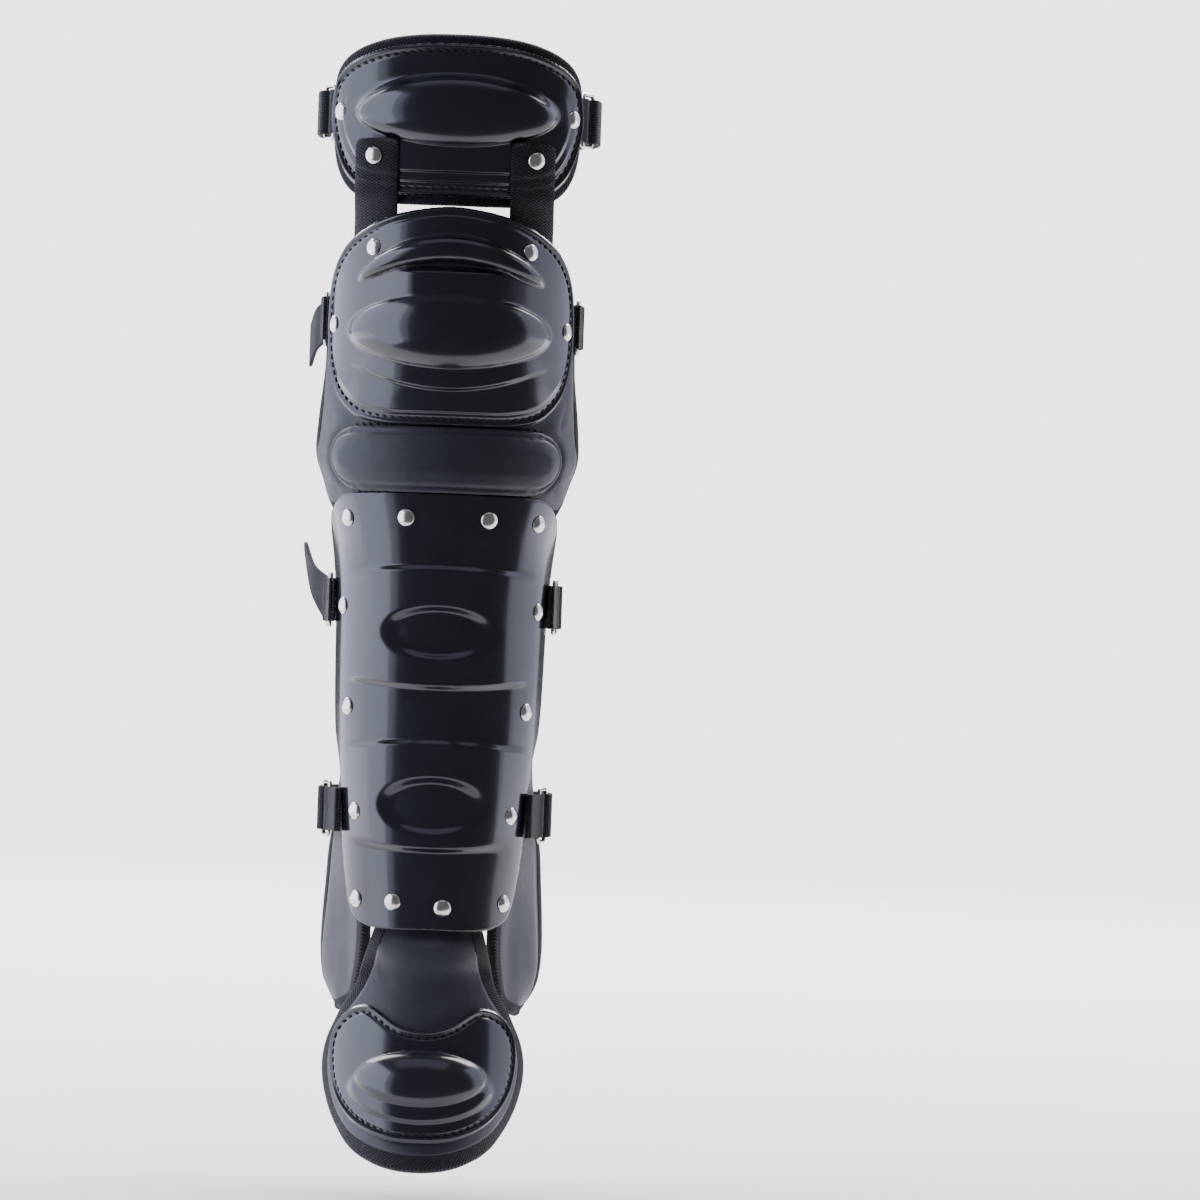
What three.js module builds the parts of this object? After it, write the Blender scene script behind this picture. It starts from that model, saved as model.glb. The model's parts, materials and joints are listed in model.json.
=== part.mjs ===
// Catcher leg guard: four moulded plates on bound pads, with calf wings and four straps.
// Millimetres, +Z up, the front faces -Y. The origin is the knee seat: the inner face of
// the padding behind the middle of the knee cap.
import * as THREE from 'three';

// Heights of the plates' ends above and below the middle of the knee cap
const thighTop = 157;
const thighBottom = 70;
const kneeTop = 64;
const kneeBottom = -62;
const shinTop = -101;
const shinBottom = -353;
const footTop = -395;
const footBottom = -470;
const bodyTop = 50;
const bodyBottom = -332;
const labelHeight = 34;
const footPadBottom = -476;
const wingTop = -112;
const wingBottom = -404;

// Half-widths of the guard, in front view
const thighHalf = 75;
const kneeHalf = 74;
const bodyHalf = 77;
const shinTaper = 13;
const shinHalf = bodyHalf - shinTaper;
const ankleHalf = 51;
const footHalf = 59;

// Front-to-back depth, from the middle of the front to where the sides face outwards
const thighDepth = 40;
const kneeDepth = 70;
const shinDepth = 55;
const ankleDepth = 43;
const footDepth = 54;

// How far each station of the front lies behind the knee cap's flange
const thighTopSet = -7;
const thighBottomSet = 6;
const kneeTopSet = 4;
const kneeBottomSet = 14;
const shinTopSet = 14;
const ankleSet = 22.5;
const footTopSet = -8;
const footBottomSet = -44;

// Walls and clearances
const shellWall = 2.5;
const seatGap = 0.3;
const sheetGap = 0.8;
const thighPadThick = 12;
const bodyPadThick = 13;
const footPadThick = 11;
const wingThick = 8;
const labelThick = 8;
const edgeShare = 0.6;

// Moulded relief of the plates
const thighBump = 14;
const thighStep = 2;
const kneeBump = 12;
const crescentBump = 11;
const kneeStep = 3.5;
const panelRise = 3;
const dishDepth = 3.5;
const footBump = 10;
const stepSoft = 2;

// Edge binding
const thinBinding = 6;
const wideBinding = 9;
const tapeSweep = 110;
const tapeInset = 0.1;

// Webbing that links the thigh plate to the knee plate
const webWide = 25.4;
const webThick = 1.8;
const webOffset = 45;
const webTop = 102;
const webBottom = 30;

// Straps, wire rings and the tabs that hold the rings
const strapWide = 25.4;
const strapThick = 2.2;
const strapGap = 0.6;
const strapBack = 130;
const tabThick = 1.6;
const wireThick = 2.6;
const ringLong = 14;
const ringHigh = 33;
const ringCorner = 1.6;
const thighStrapHeight = 120;
const kneeStrapHeight = 0;
const upperStrapHeight = -164;
const lowerStrapHeight = -286;
const tabFold = 4;
const strapLead = 8;
const kneeTail = 26;
const calfTail = 38;
const tailTilt = 0.6;

// Rivets
const rivetCap = 10;
const rivetRise = 2.6;
const rivetSeat = 0.4;

// Shape of the wings behind the plate
const wingFlare = 19;
const wingCurl = 10;

const radians = Math.PI / 180;
const kneeFront = -(shellWall + sheetGap + bodyPadThick);

const paint = {
  shell: { color: 0x101116, roughness: 0.12, metalness: 0 },
  pad: { color: 0x1a1a1d, roughness: 0.6, metalness: 0 },
  wing: { color: 0x3b3c41, roughness: 0.75, metalness: 0 },
  tape: { color: 0x151517, roughness: 0.85, metalness: 0 },
  webbing: { color: 0x121214, roughness: 0.9, metalness: 0 },
  elastic: { color: 0x2c2d31, roughness: 0.9, metalness: 0 },
  nickel: { color: 0xc8c3bb, roughness: 0.22, metalness: 1 },
};

const group = new THREE.Group();

function addPiece(name, geometry, finish) {
  const mesh = new THREE.Mesh(geometry, new THREE.MeshStandardMaterial(paint[finish]));
  mesh.name = name;
  group.add(mesh);
  return mesh;
}

// Smooth step from 0 at low to 1 at high
function ramp(value, low, high) {
  return THREE.MathUtils.smoothstep(value, low, high);
}

// Smooth curve through the rows of a table, read at any place along one of its columns
function readTable(rows, place, column) {
  const sorted = [...rows].sort((first, second) => first[place] - second[place]);
  const places = sorted.map((row) => row[place]);
  const values = sorted.map((row) => row[column]);
  const curve = new THREE.CubicInterpolant(places, values, 1);
  const lowest = places[0];
  const highest = places[places.length - 1];
  return (at) => curve.evaluate(THREE.MathUtils.clamp(at, lowest, highest))[0];
}

// A closed body from points and faces, turned so that its faces point out
function closedBody(points, faces) {
  let volume = 0;
  for (const [a, b, c] of faces) {
    volume += points[a].dot(new THREE.Vector3().crossVectors(points[b], points[c]));
  }
  const order = volume < 0 ? [0, 2, 1] : [0, 1, 2];
  const geometry = new THREE.BufferGeometry();
  geometry.setAttribute('position', new THREE.Float32BufferAttribute(
    points.flatMap((point) => point.toArray()), 3));
  geometry.setIndex(faces.flatMap((face) => order.map((corner) => face[corner])));
  geometry.computeVertexNormals();
  return geometry;
}

// The guard wraps the leg: at every height its section is half an ellipse, open to the
// back. A side of 90 degrees is where it faces outwards; beyond that it runs straight back.
function wrapOf(sections) {
  const half = readTable(sections, 'height', 'half');
  const deep = readTable(sections, 'height', 'deep');
  const set = readTable(sections, 'height', 'set');
  const wrap = (side, height) => {
    const turn = Math.min(Math.abs(side), 90) * radians;
    const straight = Math.max(Math.abs(side) - 90, 0) * radians;
    const across = Math.sign(side) * half(height) * Math.sin(turn);
    const back = deep(height) * (1 - Math.cos(turn) + straight);
    return new THREE.Vector3(across, kneeFront + set(height) + back, height);
  };
  wrap.half = half;
  wrap.deep = deep;
  wrap.set = set;
  return wrap;
}

// Direction straight out of a wrap at one place
function outOf(wrap, side, height) {
  const alongSide = wrap(side + 0.5, height).sub(wrap(side - 0.5, height));
  const alongHeight = wrap(side, height + 0.5).sub(wrap(side, height - 0.5));
  return alongSide.cross(alongHeight).normalize();
}

function offsetFrom(wrap, side, height, outwards) {
  return wrap(side, height).addScaledVector(outOf(wrap, side, height), outwards);
}

// The side that lies a given distance across from the middle
function sideOf(wrap, across, height) {
  return Math.asin(THREE.MathUtils.clamp(across / wrap.half(height), -1, 1)) / radians;
}

const thighWrap = wrapOf([
  { height: thighTop + 8, half: thighHalf, deep: thighDepth, set: thighTopSet - 1 },
  { height: thighTop, half: thighHalf, deep: thighDepth, set: thighTopSet },
  { height: thighBottom, half: thighHalf, deep: thighDepth, set: thighBottomSet },
  { height: thighBottom - 10, half: thighHalf, deep: thighDepth, set: thighBottomSet + 1.5 },
]);

const legSections = [
  { height: kneeTop + 4, half: kneeHalf, deep: kneeDepth * 0.94, set: kneeTopSet },
  { height: kneeTop * 0.5, half: kneeHalf, deep: kneeDepth, set: 0 },
  { height: 0, half: kneeHalf, deep: kneeDepth, set: 0 },
  { height: kneeBottom * 0.56, half: kneeHalf, deep: kneeDepth * 0.94, set: kneeBottomSet * 0.43 },
  { height: kneeBottom, half: bodyHalf * 0.985, deep: kneeDepth * 0.85, set: kneeBottomSet },
  { height: (kneeBottom + shinTop) / 2, half: bodyHalf, deep: shinDepth * 1.04, set: shinTopSet },
  { height: shinTop + 4, half: bodyHalf * 0.94, deep: shinDepth, set: shinTopSet },
  { height: shinTop * 0.87 + shinBottom * 0.13, half: shinHalf * 1.01, deep: shinDepth * 0.99,
    set: shinTopSet * 0.87 + ankleSet * 0.13 },
  { height: (shinTop + shinBottom) / 2, half: shinHalf * 0.94, deep: (shinDepth + ankleDepth) / 2,
    set: (shinTopSet + ankleSet) / 2 },
  { height: shinTop * 0.25 + shinBottom * 0.75, half: ankleHalf * 1.12, deep: ankleDepth * 1.07,
    set: shinTopSet * 0.25 + ankleSet * 0.75 },
  { height: shinBottom, half: ankleHalf, deep: ankleDepth, set: ankleSet },
  { height: wingBottom - 6, half: ankleHalf, deep: ankleDepth, set: ankleSet + 1 },
];
const legWrap = wrapOf(legSections);

const footPadTop = bodyBottom - thinBinding - seatGap - wideBinding - 2;
const instep = footTop - shinBottom;
const footDrop = footBottomSet - footTopSet;
const footWrap = wrapOf([
  { height: footPadTop + wideBinding, half: ankleHalf, deep: ankleDepth, set: ankleSet + 3 },
  { height: shinBottom, half: ankleHalf, deep: ankleDepth, set: ankleSet + 3 },
  { height: shinBottom + instep * 0.5, half: (ankleHalf + footHalf) / 2,
    deep: (ankleDepth + footDepth) / 2, set: footTopSet * 0.55 + ankleSet * 0.25 },
  { height: footTop, half: footHalf, deep: footDepth, set: footTopSet },
  { height: (footTop + footBottom) / 2, half: footHalf, deep: footDepth,
    set: footTopSet + footDrop * 0.5 },
  { height: footBottom, half: footHalf * 0.9, deep: footDepth * 1.1, set: footBottomSet },
  { height: footPadBottom - 14, half: footHalf * 0.8, deep: footDepth * 1.15,
    set: footBottomSet - 8 },
]);

// Outlines, as shares of the reach to the side and of the height from bottom to top
const kneeEdge = [
  [0, 1], [0.2, 0.978], [0.39, 0.936], [0.59, 0.873], [0.77, 0.787], [0.9, 0.675],
  [0.975, 0.557], [1, 0.443], [0.968, 0.302], [0.89, 0.198], [0.775, 0.117], [0.6, 0.038],
  [0.38, 0.004], [0.18, 0], [0, 0],
];
const thighEdge = [
  [0, 1], [0.2, 0.995], [0.41, 0.968], [0.64, 0.905], [0.8, 0.838], [0.93, 0.744],
  [0.985, 0.62], [1, 0.52], [0.945, 0.384], [0.835, 0.218], [0.744, 0.128], [0.625, 0.055],
  [0.42, 0.01], [0.2, 0], [0, 0],
];
const shinEdge = [
  [0, 1], [0.45, 0.998], [0.64, 0.99], [0.8, 0.955], [0.94, 0.9], [1, 0.82], [1, 0.6],
  [0.98, 0.49], [0.82, 0.4], [0.76, 0.32], [0.76, 0.12], [0.7, 0.04], [0.52, 0.006], [0, 0],
];
const footEdge = [
  [0, 0.83], [0.25, 0.93], [0.5, 1], [0.74, 0.9], [0.99, 0.68], [0.96, 0.42], [0.74, 0.18],
  [0.46, 0.04], [0, 0],
];
const footPadEdge = [
  [0, 1], [0.4, 0.995], [0.46, 0.93], [0.48, 0.82], [0.56, 0.7], [0.78, 0.56], [0.95, 0.44],
  [1, 0.33], [0.93, 0.19], [0.75, 0.09], [0.4, 0.02], [0, 0],
];
const labelEdge = [
  [0, 1], [0.5, 1], [0.8, 0.97], [0.95, 0.8], [1, 0.5], [0.95, 0.2], [0.8, 0.03], [0.5, 0],
  [0, 0],
];

const kneeReach = 75;
const thighReach = 76.5;
const shinReach = 92;
const footReach = 66;
const footPadReach = 74;
const labelReach = 60;

// Turns an outline's table into its distance from a middle, in every direction
function outlineOf(edge, reach, top, bottom, middleShare) {
  const middle = bottom + (top - bottom) * middleShare;
  const place = ([across, up]) => new THREE.Vector3(
    across * reach, bottom + (top - bottom) * up - middle, 0);
  const right = edge.map(place);
  const left = right.slice(1, -1).reverse().map((point) => new THREE.Vector3(-point.x, point.y, 0));
  const curve = new THREE.CatmullRomCurve3([...right, ...left], true, 'centripetal');
  const tall = Math.max(top - middle, middle - bottom);
  const rim = curve.getPoints(720).map((point) => ({
    angle: Math.atan2(point.y / tall, point.x / reach), side: point.x, rise: point.y,
  }));
  rim.sort((first, second) => first.angle - second.angle);
  const edgeAt = (angle) => {
    const wanted = Math.atan2(Math.sin(angle), Math.cos(angle));
    const after = rim.findIndex((row) => row.angle >= wanted);
    const next = rim[after < 0 ? 0 : after];
    return { side: next.side, rise: next.rise, middle };
  };
  edgeAt.shareOf = (side, height) => {
    const there = edgeAt(Math.atan2((height - middle) / tall, side / reach));
    return Math.hypot(side, height - middle) / Math.hypot(there.side, there.rise);
  };
  return edgeAt;
}

// Cells that fill an outline, with rings that keep the outline's shape
function ringSites(outline, across, up) {
  const sites = [];
  for (let row = 0; row <= up; row += 1) {
    for (let column = 0; column <= across; column += 1) {
      const u = 2 * column / across - 1;
      const v = 2 * row / up - 1;
      const share = Math.max(Math.abs(u), Math.abs(v));
      let angle = 0;
      if (share > 0 && Math.abs(u) >= Math.abs(v)) {
        angle = Math.PI / 4 * (v / u) + (u < 0 ? Math.PI : 0);
      } else if (share > 0) {
        angle = Math.PI / 2 - Math.PI / 4 * (u / v) + (v < 0 ? Math.PI : 0);
      }
      const edge = outline(angle);
      sites.push({ side: edge.side * share, height: edge.middle + edge.rise * share, share });
    }
  }
  return { sites, across, up };
}

// Cells in level rows between a front and a rear limit
function rowSites(limits, top, bottom, across, up) {
  const front = readTable(limits, 'up', 'front');
  const rear = readTable(limits, 'up', 'rear');
  const sites = [];
  for (let row = 0; row <= up; row += 1) {
    for (let column = 0; column <= across; column += 1) {
      const level = row / up;
      const side = THREE.MathUtils.lerp(front(level), rear(level), column / across);
      const share = Math.max(Math.abs(2 * column / across - 1), Math.abs(2 * level - 1));
      sites.push({ side, height: THREE.MathUtils.lerp(bottom, top, level), share });
    }
  }
  return { sites, across, up };
}

// Walks the rim of a grid of cells once round
function rimOf(across, up) {
  const width = across + 1;
  const rim = [];
  for (let column = 0; column < across; column += 1) rim.push(column);
  for (let row = 0; row < up; row += 1) rim.push(row * width + across);
  for (let column = across; column > 0; column -= 1) rim.push(up * width + column);
  for (let row = up; row > 0; row -= 1) rim.push(row * width);
  return rim;
}

// A sheet with a front and a back face over the same cells, closed round its rim
function sheetOver(grid, front, back) {
  const { sites, across, up } = grid;
  const count = sites.length;
  const points = [...sites.map(front), ...sites.map(back)];
  const faces = [];
  const width = across + 1;
  for (let row = 0; row < up; row += 1) {
    for (let column = 0; column < across; column += 1) {
      const a = row * width + column;
      const b = a + 1;
      const c = b + width;
      const d = a + width;
      const slopesUp = (2 * column + 1 - across) * (2 * row + 1 - up) >= 0;
      const halves = slopesUp ? [[a, b, c], [a, c, d]] : [[a, b, d], [b, c, d]];
      for (const [i, j, k] of halves) {
        faces.push([i, j, k], [k + count, j + count, i + count]);
      }
    }
  }
  const rim = rimOf(across, up);
  rim.forEach((here, index) => {
    const next = rim[(index + 1) % rim.length];
    faces.push([here, here + count, next], [next, here + count, next + count]);
  });
  const geometry = closedBody(points, faces);
  geometry.userData.rim = rim.map((index) => ({
    front: points[index], back: points[index + count],
  }));
  return geometry;
}

// A plate of even wall that follows its relief on both faces
function plateOver(wrap, grid, relief) {
  const rise = (site) => relief(wrap(site.side, site.height).x, site.height, site.share);
  return sheetOver(
    grid,
    (site) => offsetFrom(wrap, site.side, site.height, rise(site)),
    (site) => offsetFrom(wrap, site.side, site.height, rise(site) - shellWall));
}

// A pad behind a plate, thinner towards its bound edge
function padOver(wrap, grid, thick, setBack) {
  const edge = (site) => THREE.MathUtils.lerp(1, edgeShare, ramp(site.share, 0.7, 1));
  return sheetOver(
    grid,
    (site) => offsetFrom(wrap, site.side, site.height, -setBack(site)),
    (site) => offsetFrom(wrap, site.side, site.height, -setBack(site) - thick * edge(site)));
}

// Tape along the rim of a pad, as thick as the pad's edge
function bindingRound(padGeometry, width) {
  const rim = padGeometry.userData.rim;
  const middle = new THREE.Vector3();
  rim.forEach(({ front }) => middle.addScaledVector(front, 1 / rim.length));
  const outwards = rim.map(({ front, back }, index) => {
    const before = rim[(index + rim.length - 1) % rim.length].front;
    const after = rim[(index + 1) % rim.length].front;
    const along = after.clone().sub(before);
    return along.cross(front.clone().sub(back)).normalize();
  });
  const sense = outwards.reduce(
    (sum, out, index) => sum + out.dot(rim[index].front.clone().sub(middle)), 0);
  const points = [];
  rim.forEach(({ front, back }, index) => {
    const out = outwards[index].clone().multiplyScalar(Math.sign(sense));
    const inwards = back.clone().sub(front).normalize();
    for (const reach of [seatGap, seatGap + width]) {
      const bend = reach * reach / tapeSweep + tapeInset;
      points.push(front.clone().addScaledVector(out, reach).addScaledVector(inwards, bend));
      points.push(back.clone().addScaledVector(out, reach).addScaledVector(inwards, bend));
    }
  });
  const faces = [];
  const around = [[0, 1], [1, 3], [3, 2], [2, 0]];
  rim.forEach((_, index) => {
    const here = index * 4;
    const next = ((index + 1) % rim.length) * 4;
    for (const [i, j] of around) {
      faces.push([here + i, here + j, next + i], [next + i, here + j, next + j]);
    }
  });
  return closedBody(points, faces);
}

// One inside an oval, falling to nothing over the outer part of it
function oval(across, height, middle, halfWide, halfHigh, soft) {
  const reach = Math.hypot(across / halfWide, (height - middle) / halfHigh);
  return 1 - ramp(reach, 1 - soft, 1);
}

// Thigh plate: one long bump with a soft upper side, over two steps
const thighTall = thighTop - thighBottom;
const thighBumpMiddle = thighBottom + thighTall * 0.575;
function thighRelief(across, height, share) {
  const soft = height > thighBumpMiddle ? 0.75 : 0.25;
  const bump = thighBump * oval(across, height, thighBumpMiddle, thighHalf * 0.82,
    thighTall * 0.265, soft);
  const lower = ramp(height, thighBottom + thighTall * 0.07, thighBottom + thighTall * 0.11);
  const upper = ramp(height, thighBottom + thighTall * 0.15, thighBottom + thighTall * 0.19);
  const fadeTall = thighTall * 0.09;
  const fade = 1 - ramp(height, thighBumpMiddle - fadeTall, thighBumpMiddle + fadeTall);
  const steps = thighStep * (lower + upper) * fade * (1 - ramp(share, 0.86, 0.94));
  return Math.max(bump, steps);
}

// Knee plate: oval bump, drooping crescent above it and a lens-shaped step below
const kneeTall = kneeTop - kneeBottom;
const kneeBumpMiddle = kneeBottom + kneeTall * 0.435;
function kneeRelief(across, height, share) {
  const spread = Math.abs(across) / (kneeHalf * 0.84);
  const bump = kneeBump * oval(across, height, kneeBumpMiddle, kneeHalf * 0.83,
    kneeTall * 0.178, 0.4);
  const crest = kneeBottom + kneeTall * 0.805 - kneeTall * 0.17 * spread * spread;
  const crestReach = Math.hypot(spread * 0.93, (height - crest) / (kneeTall * 0.088));
  const crescent = crescentBump * (1 - ramp(crestReach, 0.45, 1));
  const saddle = crescentBump * 0.72 * oval(across, height, kneeBottom + kneeTall * 0.6,
    kneeHalf * 0.72, kneeTall * 0.2, 0.35);
  const stepLine = kneeBottom + kneeTall * (0.175 + 0.11 * spread * spread);
  const step = kneeStep * ramp(height, stepLine - stepSoft, stepLine + stepSoft)
    * (1 - ramp(share, 0.91, 0.98));
  return Math.max(bump, crescent, saddle, step);
}

// Shin plate: two raised panels with pointed ends, each with a recessed oval dish
const shinTall = shinTop - shinBottom;
const panels = [
  { top: 0.833, bottom: 0.556, dish: 0.683, halfWide: 0.57, halfHigh: 0.066 },
  { top: 0.433, bottom: 0.183, dish: 0.286, halfWide: 0.58, halfHigh: 0.071 },
];
function shinRelief(across, height) {
  const wide = legWrap.half(height);
  const spread = Math.abs(across) / wide;
  let rise = 0;
  for (const panel of panels) {
    const bow = 0.035 * spread * spread;
    const top = shinBottom + shinTall * (panel.top - bow);
    const bottom = shinBottom + shinTall * (panel.bottom + bow);
    const above = ramp(height, bottom - stepSoft, bottom + stepSoft * 1.5);
    const below = 1 - ramp(height, top - stepSoft * 1.5, top + stepSoft);
    const side = 1 - ramp(spread, 0.74, 0.86);
    const dish = oval(across, height, shinBottom + shinTall * panel.dish,
      wide * panel.halfWide, shinTall * panel.halfHigh, 0.3);
    rise += panelRise * above * below * side - dishDepth * dish;
  }
  return rise;
}

// Highest relief within a short reach of a place, which a piece laid there has to clear
function reliefNear(wrap, outline, relief, across, height, reach) {
  let highest = 0;
  for (const aside of [-reach, 0, reach]) {
    for (const above of [-reach, 0, reach]) {
      const share = outline.shareOf(sideOf(wrap, across + aside, height + above), height + above);
      highest = Math.max(highest, relief(across + aside, height + above, share));
    }
  }
  return highest;
}

// Foot plate: one oval bump with a step under it
const footTall = footTop - footBottom;
function footRelief(across, height, share) {
  const bump = footBump * oval(across, height, footBottom + footTall * 0.453,
    footHalf * 0.66, footTall * 0.215, 0.45);
  const line = footBottom + footTall * 0.19;
  const step = thighStep * ramp(height, line - stepSoft, line + stepSoft)
    * (1 - ramp(share, 0.8, 0.9));
  return Math.max(bump, step);
}

const shellBack = shellWall + sheetGap;

// Moulded plates
const thighOutline = outlineOf(thighEdge, thighReach, thighTop, thighBottom, 0.48);
const kneeOutline = outlineOf(kneeEdge, kneeReach, kneeTop, kneeBottom, 0.47);
const shinOutline = outlineOf(shinEdge, shinReach, shinTop, shinBottom, 0.5);
const footOutline = outlineOf(footEdge, footReach, footTop, footBottom, 0.45);
addPiece('thigh_shell',
  plateOver(thighWrap, ringSites(thighOutline, 16, 12), thighRelief), 'shell');
addPiece('knee_shell', plateOver(legWrap, ringSites(kneeOutline, 18, 18), kneeRelief), 'shell');
addPiece('shin_shell', plateOver(legWrap, ringSites(shinOutline, 12, 24), shinRelief), 'shell');
addPiece('foot_shell', plateOver(footWrap, ringSites(footOutline, 14, 12), footRelief), 'shell');

// Thigh pad, a little wider than its plate once it is bound
const thighPadReach = 81;
const thighPadSites = ringSites(
  outlineOf(thighEdge, thighPadReach, thighTop - 1, thighBottom + 4, 0.48), 10, 5);
const thighPad = padOver(thighWrap, thighPadSites, thighPadThick, () => shellBack);
addPiece('thigh_pad', thighPad, 'pad');
addPiece('thigh_binding', bindingRound(thighPad, thinBinding), 'tape');

// Body pad, from behind the knee cap to the bottom of the shin plate. It lies deeper at
// its top, where the webs pass between it and the knee plate.
const bodyTall = bodyTop - bodyBottom;
const upShare = (height) => (height - bodyBottom) / bodyTall;
const bodyLimits = [
  { height: bodyTop, reach: 30 },
  { height: bodyTop - 10, reach: 52 },
  { height: 20, reach: 72 },
  { height: -10, reach: 80 },
  { height: kneeBottom * 0.6, reach: 83 },
  { height: shinTop, reach: 83 },
  { height: wingTop - 4, reach: 79 },
  { height: wingTop - 26, reach: 60 },
  { height: shinTop * 0.5 + shinBottom * 0.5, reach: 54 },
  { height: shinTop * 0.3 + shinBottom * 0.7, reach: 42 },
  { height: bodyBottom + 12, reach: 40 },
  { height: bodyBottom, reach: 33 },
].map(({ height, reach }) => ({ up: upShare(height), front: -reach, rear: reach }));
const webRecess = webThick + seatGap + 0.3;
const bodySites = rowSites(bodyLimits, bodyTop, bodyBottom, 10, 20);
const bodyPad = padOver(legWrap, bodySites, bodyPadThick, (site) => (
  shellBack + webRecess * ramp(site.height, webBottom - 22, webBottom - 8)));
addPiece('body_pad', bodyPad, 'pad');
addPiece('body_binding', bindingRound(bodyPad, thinBinding), 'tape');

// Label pad, the puffed bar between the knee plate and the shin plate
const labelMiddle = (kneeBottom + shinTop) / 2;
const labelSites = ringSites(outlineOf(labelEdge, labelReach, labelMiddle + labelHeight / 2,
  labelMiddle - labelHeight / 2, 0.5), 10, 4);
addPiece('label_pad', sheetOver(
  labelSites,
  ({ side, height, share }) => offsetFrom(legWrap, side, height,
    -shellBack + sheetGap + THREE.MathUtils.lerp(labelThick, labelThick * 0.4, ramp(share, 0.5, 1))),
  ({ side, height }) => offsetFrom(legWrap, side, height, -shellBack + sheetGap)), 'pad');

// Foot pad, a bell shape with a wide binding
const footPadSites = ringSites(
  outlineOf(footPadEdge, footPadReach, footPadTop, footPadBottom, 0.36), 10, 10);
const footPad = padOver(footWrap, footPadSites, footPadThick, () => shellBack);
addPiece('foot_pad', footPad, 'pad');
addPiece('foot_binding', bindingRound(footPad, wideBinding), 'tape');

// Wings: padded flaps that come out from behind the shin plate and curl round the calf
const wingLimits = [
  { up: 1, front: 98, rear: 112 },
  { up: 0.955, front: 92, rear: 125 },
  { up: 0.9, front: 84, rear: 132 },
  { up: 0.8, front: 76, rear: 138 },
  { up: 0.6, front: 72, rear: 141 },
  { up: 0.4, front: 62, rear: 138 },
  { up: 0.24, front: 60, rear: 146 },
  { up: 0.12, front: 61, rear: 151 },
  { up: 0.05, front: 69, rear: 142 },
  { up: 0, front: 88, rear: 116 },
];
const flareRows = [
  { up: 1, share: 0 }, { up: 0.6, share: 0.1 }, { up: 0.37, share: 0.37 },
  { up: 0.14, share: 1 }, { up: 0, share: 1 },
];
const flareShare = readTable(flareRows, 'up', 'share');
function wingPlace(side, height, outwards) {
  const place = offsetFrom(legWrap, side, height, outwards);
  const up = (height - wingBottom) / (wingTop - wingBottom);
  const plateEnd = THREE.MathUtils.lerp(72, 95, ramp(up, 0.38, 0.5));
  const flare = wingFlare * flareShare(up) * ramp(Math.abs(side), plateEnd, plateEnd + 45);
  const curl = wingCurl * Math.max(0, (Math.abs(side) - 108) / 42) ** 2;
  place.x += Math.sign(side) * (flare - curl);
  return place;
}
for (const [name, hand] of [['left', -1], ['right', 1]]) {
  const limits = wingLimits.map(({ up, front, rear }) => ({
    up, front: hand * front, rear: hand * rear,
  }));
  const sites = rowSites(limits, wingTop - thinBinding, wingBottom + thinBinding, 5, 13);
  const thin = ({ share }) => THREE.MathUtils.lerp(1, 0.75, ramp(share, 0.6, 1));
  const wing = sheetOver(
    sites,
    ({ side, height }) => wingPlace(side, height, -shellBack - 0.2),
    (site) => wingPlace(site.side, site.height, -shellBack - 0.2 - wingThick * thin(site)));
  addPiece(`wing_${name}`, wing, 'wing');
  addPiece(`wing_binding_${name}`, bindingRound(wing, thinBinding), 'tape');
}

// A band of even thickness that stands upright along a path
function bandAlong(path, wide, thick) {
  const points = [];
  path.forEach((point, index) => {
    const before = path[Math.max(index - 1, 0)];
    const after = path[Math.min(index + 1, path.length - 1)];
    const into = new THREE.Vector2(point.x - before.x, point.y - before.y).normalize();
    const out = new THREE.Vector2(after.x - point.x, after.y - point.y).normalize();
    const along = into.clone().add(out).normalize();
    const miter = 1 / Math.max(Math.sqrt((1 + into.dot(out)) / 2) || 1, 0.7);
    const across = index > 0 && index < path.length - 1 ? miter : 1;
    const sideways = new THREE.Vector3(along.y, -along.x, 0).multiplyScalar(thick / 2 * across);
    for (const [sign, rise] of [[1, -1], [1, 1], [-1, 1], [-1, -1]]) {
      const corner = point.clone().addScaledVector(sideways, sign);
      corner.z += rise * wide / 2;
      points.push(corner);
    }
  });
  const last = (path.length - 1) * 4;
  const faces = [[0, 1, 2], [0, 2, 3], [last, last + 2, last + 1], [last, last + 3, last + 2]];
  for (let index = 0; index < path.length - 1; index += 1) {
    const here = index * 4;
    for (let corner = 0; corner < 4; corner += 1) {
      const i = here + corner;
      const j = here + (corner + 1) % 4;
      faces.push([i, i + 4, j], [j, i + 4, j + 4]);
    }
  }
  return closedBody(points, faces);
}

// Webs: each lies on the thigh plate, crosses the gap and ends behind the knee plate
const webSide = Math.asin(webOffset / thighHalf) / radians;
const webHidden = kneeTop - sheetGap * 4;
const webSeated = thighBottom - sheetGap;
function webPlace(hand, across, height, thick) {
  const onThigh = ramp(height, webHidden, webSeated);
  const above = sideOf(thighWrap, across, height);
  const below = sideOf(legWrap, across, height);
  const seat = reliefNear(thighWrap, thighOutline, thighRelief, across, height, 4) + sheetGap;
  const front = offsetFrom(thighWrap, above, height, seat + thick);
  const behind = offsetFrom(legWrap, below, height, -shellBack - webThick + thick);
  const place = behind.lerp(front, onThigh);
  return new THREE.Vector3(hand * place.x, place.y, height);
}
const webRows = [
  ...[0, 0.26, 0.52, 0.77, 1].map((share) => THREE.MathUtils.lerp(webBottom, webHidden, share)),
  THREE.MathUtils.lerp(webHidden, webSeated, 0.5),
  ...[0, 0.36, 0.7, 1].map((share) => THREE.MathUtils.lerp(webSeated, webTop, share)),
];
const webColumns = [-0.5, -0.17, 0.17, 0.5];
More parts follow.
